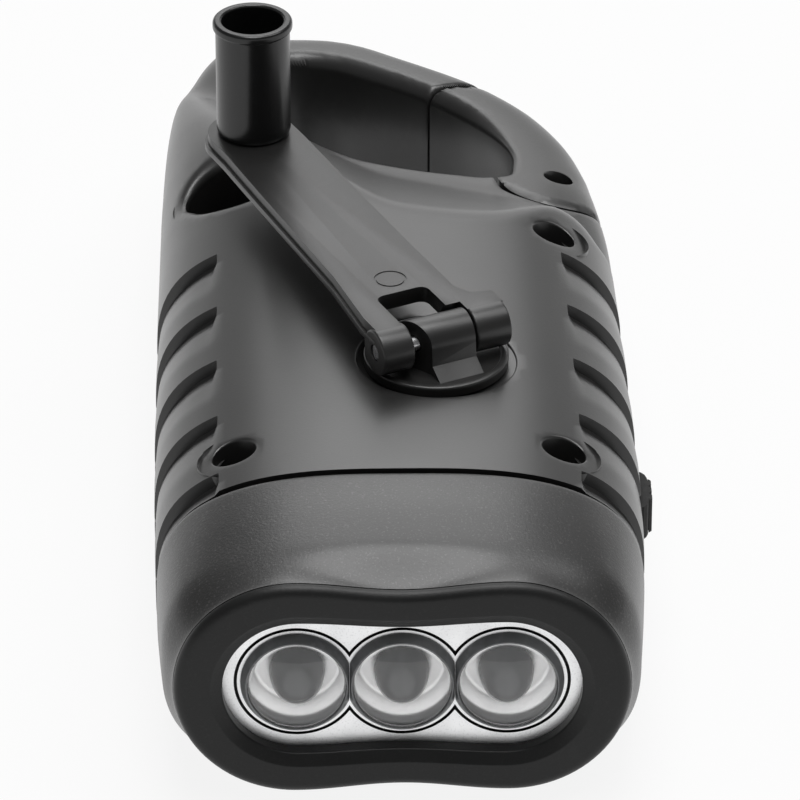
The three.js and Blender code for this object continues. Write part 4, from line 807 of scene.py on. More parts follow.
def bent(c, power):
    """The cosine or sine of a section whose corners are squared by a power."""
    return np.sign(c) * np.abs(c) ** (2 / power)


def middle_and_half(rows):
    """The middle and the half width of sections of the case."""
    left, right = rows[..., 0], rows[..., 1]
    return (left + right) / 2 * HALF_WIDTH, (right - left) / 2 * HALF_WIDTH


class Side:
    """One half of the case as a sheet: q runs round the section from right to left, y along the case."""

    def __init__(self, side, raised=True):
        self.side = side
        self.raised = raised
        power = POWER if side > 0 else LOWER_POWER
        height = CASE_HEIGHT - PART_LINE if side > 0 else LOWER_HEIGHT
        turn = np.linspace(0, np.pi, SECTION_STEPS)
        c, s = np.cos(turn), np.sin(turn)
        x = SECTION_HALF * bent(c, power)
        z = height * np.abs(s) ** (2 / power)
        if side < 0:
            z = np.minimum(z, PART_LINE)
        self.arc = np.concatenate([[0], np.cumsum(np.hypot(np.diff(x), np.diff(z)))])
        self.turns = turn
        self.reach = self.arc[-1]

    def sheet(self, plan):
        """Where points of the plan lie on the sheet."""
        rows = outline_at(plan[:, 1])
        middle, across = middle_and_half(rows)
        power = POWER if self.side > 0 else rows[:, 4]
        t = np.clip((plan[:, 0] - middle) / across, -1, 1)
        turn = np.arccos(np.sign(t) * np.abs(t) ** (power / 2))
        return np.column_stack([np.interp(turn, self.turns, self.arc), plan[:, 1]])

    def space(self, sheet, inset=0.0, lips=()):
        """Points of the skin for points of the sheet."""
        q, y = sheet[:, 0], sheet[:, 1]
        turn = np.interp(q, self.arc, self.turns)
        rows = outline_at(y)
        middle, across = middle_and_half(rows)
        across = across - inset
        c, s = np.cos(turn), np.sin(turn)
        power = POWER if self.side > 0 else rows[:, 4]
        scoop = scoop_depth(y) * rib_share(np.degrees(turn)) if not inset else 0.0
        rim = np.minimum(q, self.reach - q)
        seam = SEAM_DEPTH * np.clip(1 - rim / SEAM_WIDTH, 0, 1) ** 2 if not inset else 0.0
        x = middle + across * bent(c, power) - (scoop + seam) * c
        lift = np.abs(s) ** (2 / power)
        if self.side < 0:
            z = PART_LINE - (rows[:, 3] * PART_LINE - inset) * lift + scoop * s
            z = soft_high(z, np.full_like(z, inset), FLAT_BLEND) if not inset else np.maximum(z, inset)
            z = np.maximum(z, 0.0)
        else:
            z = PART_LINE + (CASE_HEIGHT - PART_LINE - inset) * lift - scoop * s
            if not inset:
                flat = np.where(c > 0, HOOK_POWER, POWER)
                level = (1 - np.abs(c) ** (2 / POWER * flat)) ** (1 / flat)
                low = PART_LINE + rows[:, 2] * (CASE_HEIGHT - PART_LINE) * level
                low += GATE_RISE * lift * np.exp(-((x - RISE_X) ** 2 + (y - RISE_Y) ** 2) / RISE_SPREAD)
                rounding = np.interp(x / HALF_WIDTH, SLOPE_SIDE, SLOPE_ROUNDING)
                cut = soft_low(z, slope_height(x, y), rounding)
                hook = np.minimum(soft_high(cut, low, HOOK_BLEND) if self.raised else low, z)
                hook = np.where(rim < CLOSE, PART_LINE, hook)
                z = np.where(y > HOOK_START, hook, np.minimum(cut, z))
                z = np.maximum(z, PART_LINE)
        plan = np.column_stack([x, y])
        for outline, edge in lips:
            gap = distance_to(plan, outline)
            radius = edge * np.interp(y, *LIP_SHARES)
            near = np.clip(radius - gap, 0, radius)
            sink = radius - np.sqrt(np.maximum(radius * radius - near * near, 0))
            room = np.abs(z - PART_LINE)
            z = z - self.side * np.minimum(sink, LIP_ROOM_SHARE * room)
        return np.column_stack([x, y, z])


def case_rows(near, far, step):
    """Places along the case for the rows of the skin, with rows close to each rib and to the hook's end."""
    rows = set(np.round(np.arange(near, far, step), 4))
    for rib in range(RIBS):
        edge = -FIRST_RIB + rib * RIB_PITCH
        rows = {y for y in rows if not RIB_CLEAR[0] < y - edge < RIB_CLEAR[1]}
        rows |= {edge + offset for offset in RIB_STEPS}
    rows |= {far - gap for gap in REAR_STEPS}
    rows |= {near + gap for gap in FRONT_STEPS}
    kept = [near]
    for y in sorted(y for y in rows if near <= y <= far):
        if y - kept[-1] > LEAST_STEP:
            kept.append(y)
    if far - kept[-1] > TINY:
        kept.append(far)
    return np.array(kept)


def skin(side, near, far, openings, keep, boxes=(), raised=True):
    """Triangles over one half of the case, which follow the outlines of its openings.

    openings: (outline, lip radius, floor height or None); keep tells which plan points stay;
    boxes: pockets of the sheet, as q and y ranges.
    Gives the half, the sheet places of the points, their places in space, and the faces."""
    form = Side(side, raised)
    step = settings().grid_step / MM
    across = np.concatenate([
        SKIN_EDGE_STEPS, np.linspace(SKIN_EDGE, form.reach - SKIN_EDGE, int(form.reach / step)),
        form.reach - SKIN_EDGE_STEPS[::-1]])
    grid = np.array([(q, y) for y in case_rows(near, far, step) for q in across])
    chains = []
    rings = []
    for outline, lip, _ in openings:
        plan = evenly(outline, EDGE_STEP)
        chains.append(form.sheet(plan))
        tangent = np.roll(plan, -1, axis=0) - np.roll(plan, 1, axis=0)
        normal = np.column_stack([tangent[:, 1], -tangent[:, 0]])
        normal /= np.maximum(np.linalg.norm(normal, axis=1), 1e-9)[:, None]
        if inside(plan[:1] + normal[:1] * CLOSE, plan)[0]:
            normal = -normal
        for share in WIDE_LIP_STEPS if lip > WIDE_LIP else LIP_STEPS:
            ring = plan + normal * lip * share
            ring = ring[distance_to(ring, plan) > lip * share * LIP_KEEP_SHARE]
            rings.append(form.sheet(ring))
    for q0, q1, y0, y1 in boxes:
        chains.append(evenly([[q0, y0], [q1, y0], [q1, y1], [q0, y1]], BOX_STEP))
    border = np.array([[0, near], [form.reach, near], [form.reach, far], [0, far]], float)
    nearby = np.concatenate(chains + rings)
    nearby = nearby[(nearby[:, 0] > -NEARLY) & (nearby[:, 0] < form.reach + NEARLY)]
    on_border = ((grid[:, 0] < TINY) | (grid[:, 0] > form.reach - TINY) | (grid[:, 1] < near + TINY)
                 | (grid[:, 1] > far - TINY))
    gaps = nearest(grid, nearby)
    grid = grid[(gaps > GRID_CLEAR) | on_border & (gaps > BORDER_CLEAR)]
    loose = np.concatenate(rings)
    gaps = nearest(loose, np.concatenate(chains))
    across = loose[:, 0]
    loose = loose[(gaps > LIP_CLEAR) & (across > BORDER_CLEAR) & (across < form.reach - BORDER_CLEAR)
                  & (loose[:, 1] > near + BORDER_CLEAR) & (loose[:, 1] < far - BORDER_CLEAR)]
    edges = []
    total = 0
    for chain in [border] + chains:
        edges += [(total + i, total + (i + 1) % len(chain)) for i in range(len(chain))]
        total += len(chain)
    every = np.concatenate([border, *chains, loose, grid])
    result = geometry.delaunay_2d_cdt([Vector(p) for p in every], edges, [], 0, 1e-4)
    sheet = np.array([tuple(v) for v in result[0]])
    faces = np.array([tuple(f) for f in result[2] if len(f) == 3])
    q, y = sheet[faces, 0], sheet[faces, 1]
    faces = faces[(y.min(axis=1) >= near - NEARLY) & (y.max(axis=1) <= far + NEARLY)
                  & (q.min(axis=1) >= -NEARLY) & (q.max(axis=1) <= form.reach + NEARLY)]
    centres = form.space(sheet)[faces].mean(axis=1)
    stay = keep(centres[:, :2])
    middle = sheet[faces].mean(axis=1)
    for q0, q1, y0, y1 in boxes:
        stay &= ~((middle[:, 0] > q0) & (middle[:, 0] < q1) & (middle[:, 1] > y0) & (middle[:, 1] < y1))
    for outline, _, floor in openings:
        if floor is not None:
            stay &= ~inside(centres[:, :2], outline)
    faces = faces[stay]
    space = form.space(sheet, 0.0, [(evenly(outline, LIP_STEP), lip) for outline, lip, _ in openings])

    def areas():
        a, b, c = (space[faces[:, k]] for k in range(3))
        return np.cross(b - a, c - a)

    faces = faces[np.linalg.norm(areas(), axis=1) > 1e-9]
    if areas().sum(axis=0)[2] * side < 0:
        faces = faces[:, ::-1]
    return form, sheet, space, faces


def with_walls(form, sheet, space, faces, openings, near, neck, boxes):
    """Adds walls down from the edges of the skin, floors, and the neck that the head slides over."""
    points = [tuple(p) for p in space]
    all_faces = [tuple(f) for f in faces]
    seen = dict.fromkeys((face[i], face[(i + 1) % 3]) for face in all_faces for i in range(3))
    border = [(a, b) for (a, b) in seen if (b, a) not in seen]
    outlines = [np.asarray(o, float) for o, _, _ in openings]
    lower = {}

    def dropped(index, floor, kind):
        key = (index, floor, kind)
        if key not in lower:
            x, y, z = points[index]
            lower[key] = len(points)
            points.append((floor, y, z) if kind == "box" else (x, y, floor))
        return lower[key]

    mids = np.array([np.add(points[a][:2], points[b][:2]) / 2 for a, b in border])
    gaps = np.array([distance_to(mids, outline) for outline in outlines])
    neck_rows = {}
    for k, (a, b) in enumerate(border):
        qa, qb = sheet[a], sheet[b]
        if max(qa[0], qb[0]) < CLOSE or min(qa[0], qb[0]) > form.reach - CLOSE:
            continue
        if neck and max(qa[1], qb[1]) < near + CLOSE:
            for index in (a, b):
                if index not in neck_rows:
                    base = sheet[index:index + 1].copy()
                    first = form.space(base, NECK_INSET)[0]
                    base[0, 1] = HEAD_REAR - NECK_LENGTH
                    second = form.space(base, NECK_INSET)[0]
                    first[1] = near
                    neck_rows[index] = (len(points), len(points) + 1)
                    points.extend([tuple(first), tuple(second)])
            (a1, a2), (b1, b2) = neck_rows[a], neck_rows[b]
            all_faces += [(b, a, a1, b1), (b1, a1, a2, b2)]
            continue
        low, high = np.minimum(qa, qb) + CLOSE, np.maximum(qa, qb) - CLOSE
        if any(q0 <= low[0] and high[0] <= q1 and y0 <= low[1] and high[1] <= y1
               for q0, q1, y0, y1 in boxes):
            all_faces.append((b, a, dropped(a, POCKET_FLOOR, "box"), dropped(b, POCKET_FLOOR, "box")))
            continue
        floor = PART_LINE
        best = int(np.argmin(gaps[:, k]))
        if gaps[best, k] < OPENING_REACH and openings[best][2] is not None:
            floor = openings[best][2]
        all_faces.append((b, a, dropped(a, floor, "down"), dropped(b, floor, "down")))
    loops = {}
    for (index, floor, kind), made in lower.items():
        if kind == "down" and floor != PART_LINE:
            loops.setdefault(floor, []).append(made)
    for outline, _, floor in openings:
        if floor is None or floor == PART_LINE:
            continue
        centre = np.asarray(outline).mean(axis=0)
        members = [m for m in loops.get(floor, [])
                   if distance_to(np.array([points[m][:2]]), outline)[0] < FLOOR_REACH]
        if len(members) < 3:
            continue
        members.sort(key=lambda m: math.atan2(points[m][1] - centre[1], points[m][0] - centre[0]))
        all_faces.append(tuple(members) if form.side > 0 else tuple(reversed(members)))
    return points, all_faces


def walled_skin(side, near, far, openings, keep, boxes=(), raised=True, neck=False):
    """The points and faces of one half of the case, with its walls."""
    return with_walls(*skin(side, near, far, openings, keep, boxes, raised), openings, near, neck, boxes)


def thicken(piece, thickness):
    """Gives a skin a wall inwards, and keeps it inside the case's outline."""
    modifier = piece.modifiers.new("wall", "SOLIDIFY")
    modifier.thickness = thickness * MM
    modifier.offset = -1.0
    modifier.use_rim = True
    applied(piece)
    points = np.empty(len(piece.data.vertices) * 3)
    piece.data.vertices.foreach_get("co", points)
    points = points.reshape(-1, 3) / MM
    rows = outline_at(points[:, 1])
    points[:, 0] = np.clip(points[:, 0], rows[:, 0] * HALF_WIDTH, rows[:, 1] * HALF_WIDTH)
    points[:, 1] = np.minimum(points[:, 1], REAR)
    points[:, 2] = np.clip(points[:, 2], 0, CASE_HEIGHT)
    piece.data.vertices.foreach_set("co", (points * MM).ravel())
    return piece


# Outlines of the case's openings

PIVOT = np.array([19.8, 26.5])
HEEL = 7.4
HEEL_GAP = 0.45
SPLIT = 26.4
SPLIT_GAP = 0.35
HUB = np.array([4.3, -30.6])
CRANK_TURN = 25.8
HINGE_OFFSET = 1.5
HINGE_HEIGHT = 33.8
BARREL = 2.6
ARM_LENGTH = 47.8
ARM_TOP = HINGE_HEIGHT + BARREL
SOCKET_TURN = 27.0
SOCKET_RADIUS = 4.75
SOCKET_SLOT = 2.0
SCREWS = [(-17.7, -47.4), (17.7, -47.4), (18.3, 1.4)]
SCREW_HOLE = 2.35
SCREW_SEAT = 17.4
KNOB_CLEAR, KNOB_TALL = 0.3, 14.3
SOCKET_FLOOR = 2 * HINGE_HEIGHT - ARM_TOP - KNOB_CLEAR - KNOB_TALL - KNOB_CLEAR
HEEL_ARC, SPLIT_ARC, GATE_REACH = (175, 335), (84, 146), 3
SWITCH_Y = -36.2
POCKET_FLOOR = 25.5


def hook_opening():
    """The closed curve through the marked points of the hook opening."""
    marks = HOOK_SHARES * [HALF_WIDTH, REAR]
    count = len(marks)
    points = []
    for i in range(count):
        p0, p1, p2, p3 = (marks[(i + k) % count] for k in (-1, 0, 1, 2))
        d = [np.linalg.norm(b - a) ** 0.5 for a, b in ((p0, p1), (p1, p2), (p2, p3))]
        m1 = ((p1 - p0) / d[0] - (p2 - p0) / (d[0] + d[1]) + (p2 - p1) / d[1]) * d[1]
        m2 = ((p2 - p1) / d[1] - (p3 - p1) / (d[1] + d[2]) + (p3 - p2) / d[2]) * d[1]
        for t in np.linspace(0, 1, 12, endpoint=False):
            points.append((2 * t ** 3 - 3 * t ** 2 + 1) * p1 + (t ** 3 - 2 * t ** 2 + t) * m1
                          + (3 * t ** 2 - 2 * t ** 3) * p2 + (t ** 3 - t ** 2) * m2)
    return np.array(points)


def gate_zone(heel, split):
    """The outline of the gate seen from above, from the radii of its two ends about the pivot."""
    x, y = PIVOT
    return np.concatenate([
        arc(x, y, heel, *HEEL_ARC, 48),
        [[HALF_WIDTH + GATE_REACH, y + heel * math.sin(math.radians(HEEL_ARC[1]))]],
        arc(x, y, split, *SPLIT_ARC, 60),
    ])


def polar(turn):
    """The direction of the crank's Y at an angle about the hub."""
    return np.array([-math.sin(math.radians(turn)), math.cos(math.radians(turn))])


SOCKET = HUB + (ARM_LENGTH + HINGE_OFFSET) * polar(SOCKET_TURN)


def socket_outline(radius=SOCKET_RADIUS):
    far = SOCKET + SOCKET_SLOT * polar(SOCKET_TURN)
    return np.concatenate([arc(*SOCKET, radius, SOCKET_TURN + 180, SOCKET_TURN + 360, 40),
                           arc(*far, radius, SOCKET_TURN, SOCKET_TURN + 180, 40)])


# Case operators

GATE_LIP = 0.8
GATE_EDGE = 0.35
GATE_NEAR, GATE_FAR = 18.0, 54.5
GATE_HOLE, GATE_HOLE_LIP = 1.7, 0.2
GATE_HOLE_FLOORS = (18.6, 7.4)
UNDER_LIP, UNDER_GATE_LIP = 1.2, 0.3
RECESS_RADIUS, RECESS_LIP, RECESS_DEPTH = 8.75, 0.25, 0.9
WINDOW = ((-16, -50), (16, -50), (16, -6), (-16, -6))
WINDOW_LIP, WINDOW_DEPTH = 0.25, 1.9
SWITCH_HALF, SWITCH_TRAVEL, SWITCH_GAP = 4.0, 3.0, 0.7
POCKET_HALF_HEIGHT, POCKET_Y = 2.8, -38.0


def pocket_reach():
    """How far the switch pocket reaches up from the seam, along the sheet."""
    along = np.linspace(0, 6, 200)
    heights = Side(1).space(np.column_stack([along, np.full(len(along), POCKET_Y)]))[:, 2] - PART_LINE
    return float(np.interp(POCKET_HALF_HEIGHT, heights, along))


class BuildCase(bpy.types.Operator):
    """Build the two halves of the case with their ribs, openings and slope"""
    bl_idname = "flashlight.build_case"
    bl_label = "Build case shells"

    def execute(self, context):
        own = settings()
        hook, gate = hook_opening(), gate_zone(HEEL + HEEL_GAP, SPLIT + SPLIT_GAP / 2)
        boxes = [(0.0, pocket_reach(), SWITCH_Y - SWITCH_HALF - SWITCH_TRAVEL - SWITCH_GAP,
                  SWITCH_Y + SWITCH_HALF + SWITCH_GAP)]

        def keep(plan):
            return ~inside(plan, hook) & ~inside(plan, gate)

        upper = [
            (hook, own.opening_lip / MM, None),
            (gate, GATE_LIP, None),
            (socket_outline(), own.socket_lip / MM, SOCKET_FLOOR),
            (circle(*HUB, RECESS_RADIUS, 120), RECESS_LIP, CASE_HEIGHT - RECESS_DEPTH),
            *((circle(*place, SCREW_HOLE, 64), own.screw_lip / MM, SCREW_SEAT) for place in SCREWS),
        ]
        lower = [(hook, UNDER_LIP, None), (gate, UNDER_GATE_LIP, None), (WINDOW, WINDOW_LIP, WINDOW_DEPTH)]
        for name, side, openings, node in (("case_crank_side", 1, upper, "crank_side_shell"),
                                           ("case_solar_side", -1, lower, "solar_side_shell")):
            points, faces = walled_skin(side, BODY_FRONT, REAR, openings, keep, boxes, neck=True)
            shell = soften(make_object(name, points, faces), SHARP, SKIN_MERGE, False)
            thicken(shell, WALL)
            soften(shell, SHARP, SKIN_MERGE, False)
            dress(shell, "case", "case_plastic", "case", node)
        return {"FINISHED"}


class BuildGate(bpy.types.Operator):
    """Build the swinging gate of the hook, and give its pin and spring a finish"""
    bl_idname = "flashlight.build_gate"
    bl_label = "Build hook gate"

    def execute(self, context):
        hook, zone = hook_opening(), gate_zone(HEEL, SPLIT - SPLIT_GAP / 2)
        hole = circle(*PIVOT, GATE_HOLE, 40)

        def keep(plan):
            return ~inside(plan, hook) & inside(plan, zone)

        points, faces = [], []
        for side, lip, floor in zip((1, -1), (settings().opening_lip / MM, UNDER_LIP), GATE_HOLE_FLOORS):
            openings = [(hook, lip, None), (zone, GATE_EDGE, None), (hole, GATE_HOLE_LIP, floor)]
            half_points, half_faces = walled_skin(side, GATE_NEAR, GATE_FAR, openings, keep, raised=False)
            faces += [tuple(i + len(points) for i in face) for face in half_faces]
            points += half_points
        piece = make_object("gate", points, faces)
        work = bmesh.new()
        work.from_mesh(piece.data)
        bmesh.ops.delete(work, geom=[v for v in work.verts if not v.link_faces], context="VERTS")
        work.to_mesh(piece.data)
        work.free()
        soften(piece, SHARP, SKIN_MERGE, False)
        dress(piece, "gate", "case_plastic", "case", "hook_gate")
        paint("screw", "gate_pin")
        paint("steel", "gate_spring")
        return {"FINISHED"}


# Head and lamps

BEZEL_FRONT = -73.5
PLATE_FRONT = BEZEL_FRONT + 2.2
PLATE_REAR = PLATE_FRONT + 0.8
LAMP_HEIGHT = 14.65
HEAD_BLEND, HEAD_BLEND_POWER = 5.0, 1.5
HEAD_WALL = 1.8
HEAD_STEPS = np.array([
    0, 0.12, 0.3, 0.55, 0.9, 1.4, 2, 2.7, 3.5, 4.5, 5.6, 7, 8.5, 10, 11.5, 13, 14.5, 15.7, 16.5])
HEAD_INSIDE_STEP = -65.0
HEAD_REAR_EDGE = 0.35
RIM_RADIUS, RIM_CENTRE, RIM_WAIST = 12.85, 11.3, 0.85
PLATE_RADIUS, PLATE_CENTRE, PLATE_WAIST = 9.0, 10.9, 0.5
HEAD_MOUTH = 11.9
BEZEL_INNER, BEZEL_MOUTH, BEZEL_FLAT = 8.05, 9.35, 11.6
BEZEL_FLARE, BEZEL_SPREAD = 0.75, 3.0
BEZEL_EDGE_WIDTH, BEZEL_EDGE_DEPTH = 1.2, 1.1
SKIRT_OUTER, SKIRT_INNER, SKIRT_DEPTH = 11.8, 9.1, 2.7
SLACK = 0.1


def waisted(radius, centre, waist, y, arc_steps=48, waist_steps=24):
    """An outline with round ends and a drawn-in waist, in the plane of the lamp face."""
    ring = []
    for side in (1, -1):
        for turn in (-math.pi / 2 + math.pi * i / arc_steps for i in range(arc_steps + 1)):
            ring.append((side * (centre + radius * math.cos(turn)), y,
                         LAMP_HEIGHT + side * radius * math.sin(turn)))
        for i in range(1, waist_steps):
            x = centre * (1 - 2 * i / waist_steps)
            dip = waist * (1 + math.cos(math.pi * x / centre)) / 2
            ring.append((side * x, y, LAMP_HEIGHT + side * (radius - dip)))
    return np.array(ring)


def head_ring(y, inset, count=240):
    """One section of the head, upper and lower halves together."""
    row = outline_at(y)[0]
    middle, half = middle_and_half(row)
    turn = np.linspace(0, 2 * np.pi, count, endpoint=False)
    c, s = np.cos(turn), np.sin(turn)
    power = np.where(s < 0, row[4], POWER)
    x = middle + (half - inset) * bent(c, power)
    above = row[2] * (CASE_HEIGHT - PART_LINE) - inset
    below = row[3] * PART_LINE - inset
    z = PART_LINE + np.where(s > 0, above, below) * bent(s, power)
    z = np.maximum(soft_high(z, np.full_like(z, inset), FLAT_BLEND), inset)
    return np.column_stack([x, np.full(count, y), z])


def reach_at(outline, ring):
    """The directions of a ring's points from the middle, and how far an outline lies there."""
    turn = np.arctan2(outline[:, 2] - PART_LINE, outline[:, 0])
    order = np.argsort(turn)
    radii = np.hypot(outline[:, 2] - PART_LINE, outline[:, 0])[order]
    own = np.arctan2(ring[:, 2] - PART_LINE, ring[:, 0])
    return own, np.interp(own, turn[order], radii, period=2 * np.pi)


def ring_at(turn, radius, y):
    """A ring from directions and radii about the middle of the lamp face."""
    return np.column_stack([radius * np.cos(turn), np.full(len(turn), y), PART_LINE + radius * np.sin(turn)])


def head_rings():
    """The outside of the head from its front edge back, its rear edge and its inside."""
    rings = []
    rim = waisted(RIM_RADIUS, RIM_CENTRE, RIM_WAIST, 0.0)
    for y in HEAD_STEPS - FRONT:
        ring = head_ring(y, 0)
        turn, reach = reach_at(rim, ring)
        own = np.hypot(ring[:, 0], ring[:, 2] - PART_LINE)
        share = max(1 - (y + FRONT) / HEAD_BLEND, 0.0) ** HEAD_BLEND_POWER
        rings.append(ring_at(turn, own + (reach - own) * share, y))
    for turn in np.radians([20, 40, 60, 80, 90]):
        rings.append(head_ring(HEAD_REAR - HEAD_REAR_EDGE + HEAD_REAR_EDGE * math.sin(turn),
                               HEAD_REAR_EDGE * (1 - math.cos(turn))))
    rings += [head_ring(HEAD_REAR, inset) for inset in (HEAD_WALL / 2, HEAD_WALL)]
    rings += [head_ring(y, HEAD_WALL) for y in (
        HEAD_REAR - 1, HEAD_REAR - NECK_LENGTH, HEAD_INSIDE_STEP, HEAD_WALL - FRONT)]
    turn, reach = reach_at(waisted(HEAD_MOUTH, RIM_CENTRE, RIM_WAIST, 0.0), head_ring(-FRONT, 0))
    return rings + [ring_at(turn, reach, y) for y in (HEAD_WALL - FRONT, -FRONT)]


def bezel_rings():
    """The bezel's section, from its mouth over the rounded edge to the skirt in the head."""
    profile = rounded([
        (BEZEL_INNER, PLATE_FRONT - SLACK), (BEZEL_INNER, BEZEL_FRONT + BEZEL_FLARE),
        (BEZEL_MOUTH, BEZEL_FRONT), (BEZEL_FLAT, BEZEL_FRONT),
    ], {1: 0.35, 2: 0.4}, 8)[:-1]
    profile += [(BEZEL_FLAT + BEZEL_EDGE_WIDTH * math.sin(turn),
                 BEZEL_FRONT + BEZEL_EDGE_DEPTH * (1 - math.cos(turn)))
                for turn in np.radians(np.linspace(0, 90, 10))]
    profile += [(SKIRT_OUTER, -FRONT - SLACK), (SKIRT_OUTER, SKIRT_DEPTH - FRONT),
                (SKIRT_INNER, SKIRT_DEPTH - FRONT), (SKIRT_INNER, PLATE_FRONT - SLACK)]
    rings = []
    for radius, y in profile:
        wide = min(max((radius - BEZEL_MOUTH) / BEZEL_SPREAD, 0.0), 1.0)
        rings.append(waisted(radius, PLATE_CENTRE + (RIM_CENTRE - PLATE_CENTRE) * wide,
                             PLATE_WAIST + (RIM_WAIST - PLATE_WAIST) * wide, y))
    return rings


class BuildHead(bpy.types.Operator):
    """Build the grained head and the bezel round the lamp window"""
    bl_idname = "flashlight.build_head"
    bl_label = "Build head and bezel"

    def execute(self, context):
        head = loft("head", head_rings(), True)
        dress(head, "case", "head_plastic", "head", "head_shell")
        bezel = loft("bezel_rim", bezel_rings(), True)
        dress(bezel, "case", "bezel_plastic", "bezel", "bezel")
        return {"FINISHED"}


LENSES = (-11.1, 0.0, 11.1)
LENS_HALF = 5.53
PLATE_HOLE = 5.52
GROOVE_INNER, GROOVE_OUTER, GROOVE_DEPTH = 6.3, 6.65, 0.4
REFLECTOR_FRONT = PLATE_REAR + 0.1
REFLECTOR_WALL, REFLECTOR_HOLE = 0.8, 5.3
CUP_REAR = REFLECTOR_FRONT + 3.3
CUP_OUTER, CUP_INNER, CUP_WAIST, CUP_FLOOR = 5.4, 5.25, 5.0, 3.6
LENS_RADIUS, LENS_SEAT = 5.45, 0.03
COLLAR_FOOT, COLLAR_TOP, COLLAR_INNER = 5.95, 5.4, 5.25
COLLAR_FRONT = PLATE_FRONT - 1.15
DOME_EDGE, DOME_RADIUS, DOME_RISE = 5.15, 5.1, 1.15
DOME_GAP = 0.05
BULB, BULB_DROP, BULB_SINK = 2.2, 1.4, 0.35
BULB_RIM, BULB_LENGTH = 0.3, 2.4


def forward(x):
    """Turns a piece made about Z so that its height runs back along Y at a lamp."""
    return Matrix.Translation((x * MM, 0, LAMP_HEIGHT * MM)) @ Matrix.Rotation(math.radians(-90), 4, "X")


def rod(name, bore, radius, low, high, finish, place):
    """A cylinder about Z, or a ring where it has a bore."""
    profile = [(bore, low), (radius, low), (radius, high), (bore, high)]
    return turned(name, profile + profile[:1] if bore else profile, finish, place)


def plate_outline(fronts):
    return [waisted(PLATE_RADIUS, PLATE_CENTRE, PLATE_WAIST, y) for y in fronts]


def lens_profile():
    """Half of a lens's section: the back, the collar and the dome."""
    sphere = (DOME_RADIUS ** 2 + DOME_RISE ** 2) / (2 * DOME_RISE)
    half = math.asin(DOME_RADIUS / sphere)
    front = BEZEL_FRONT + DOME_RISE + DOME_GAP
    profile = [
        (0, PLATE_REAR), (LENS_RADIUS, PLATE_REAR), (LENS_RADIUS, PLATE_FRONT + 0.02),
        (LENS_RADIUS, PLATE_FRONT - LENS_SEAT), (COLLAR_FOOT, PLATE_FRONT - LENS_SEAT),
        (COLLAR_FOOT, PLATE_FRONT - 0.2), (COLLAR_TOP, COLLAR_FRONT), (COLLAR_INNER, COLLAR_FRONT),
        (DOME_EDGE, front)]
    for turn in half * np.linspace(1, 0, 22):
        profile.append((sphere * math.sin(turn), front - DOME_RISE + sphere * (1 - math.cos(turn))))
    return profile


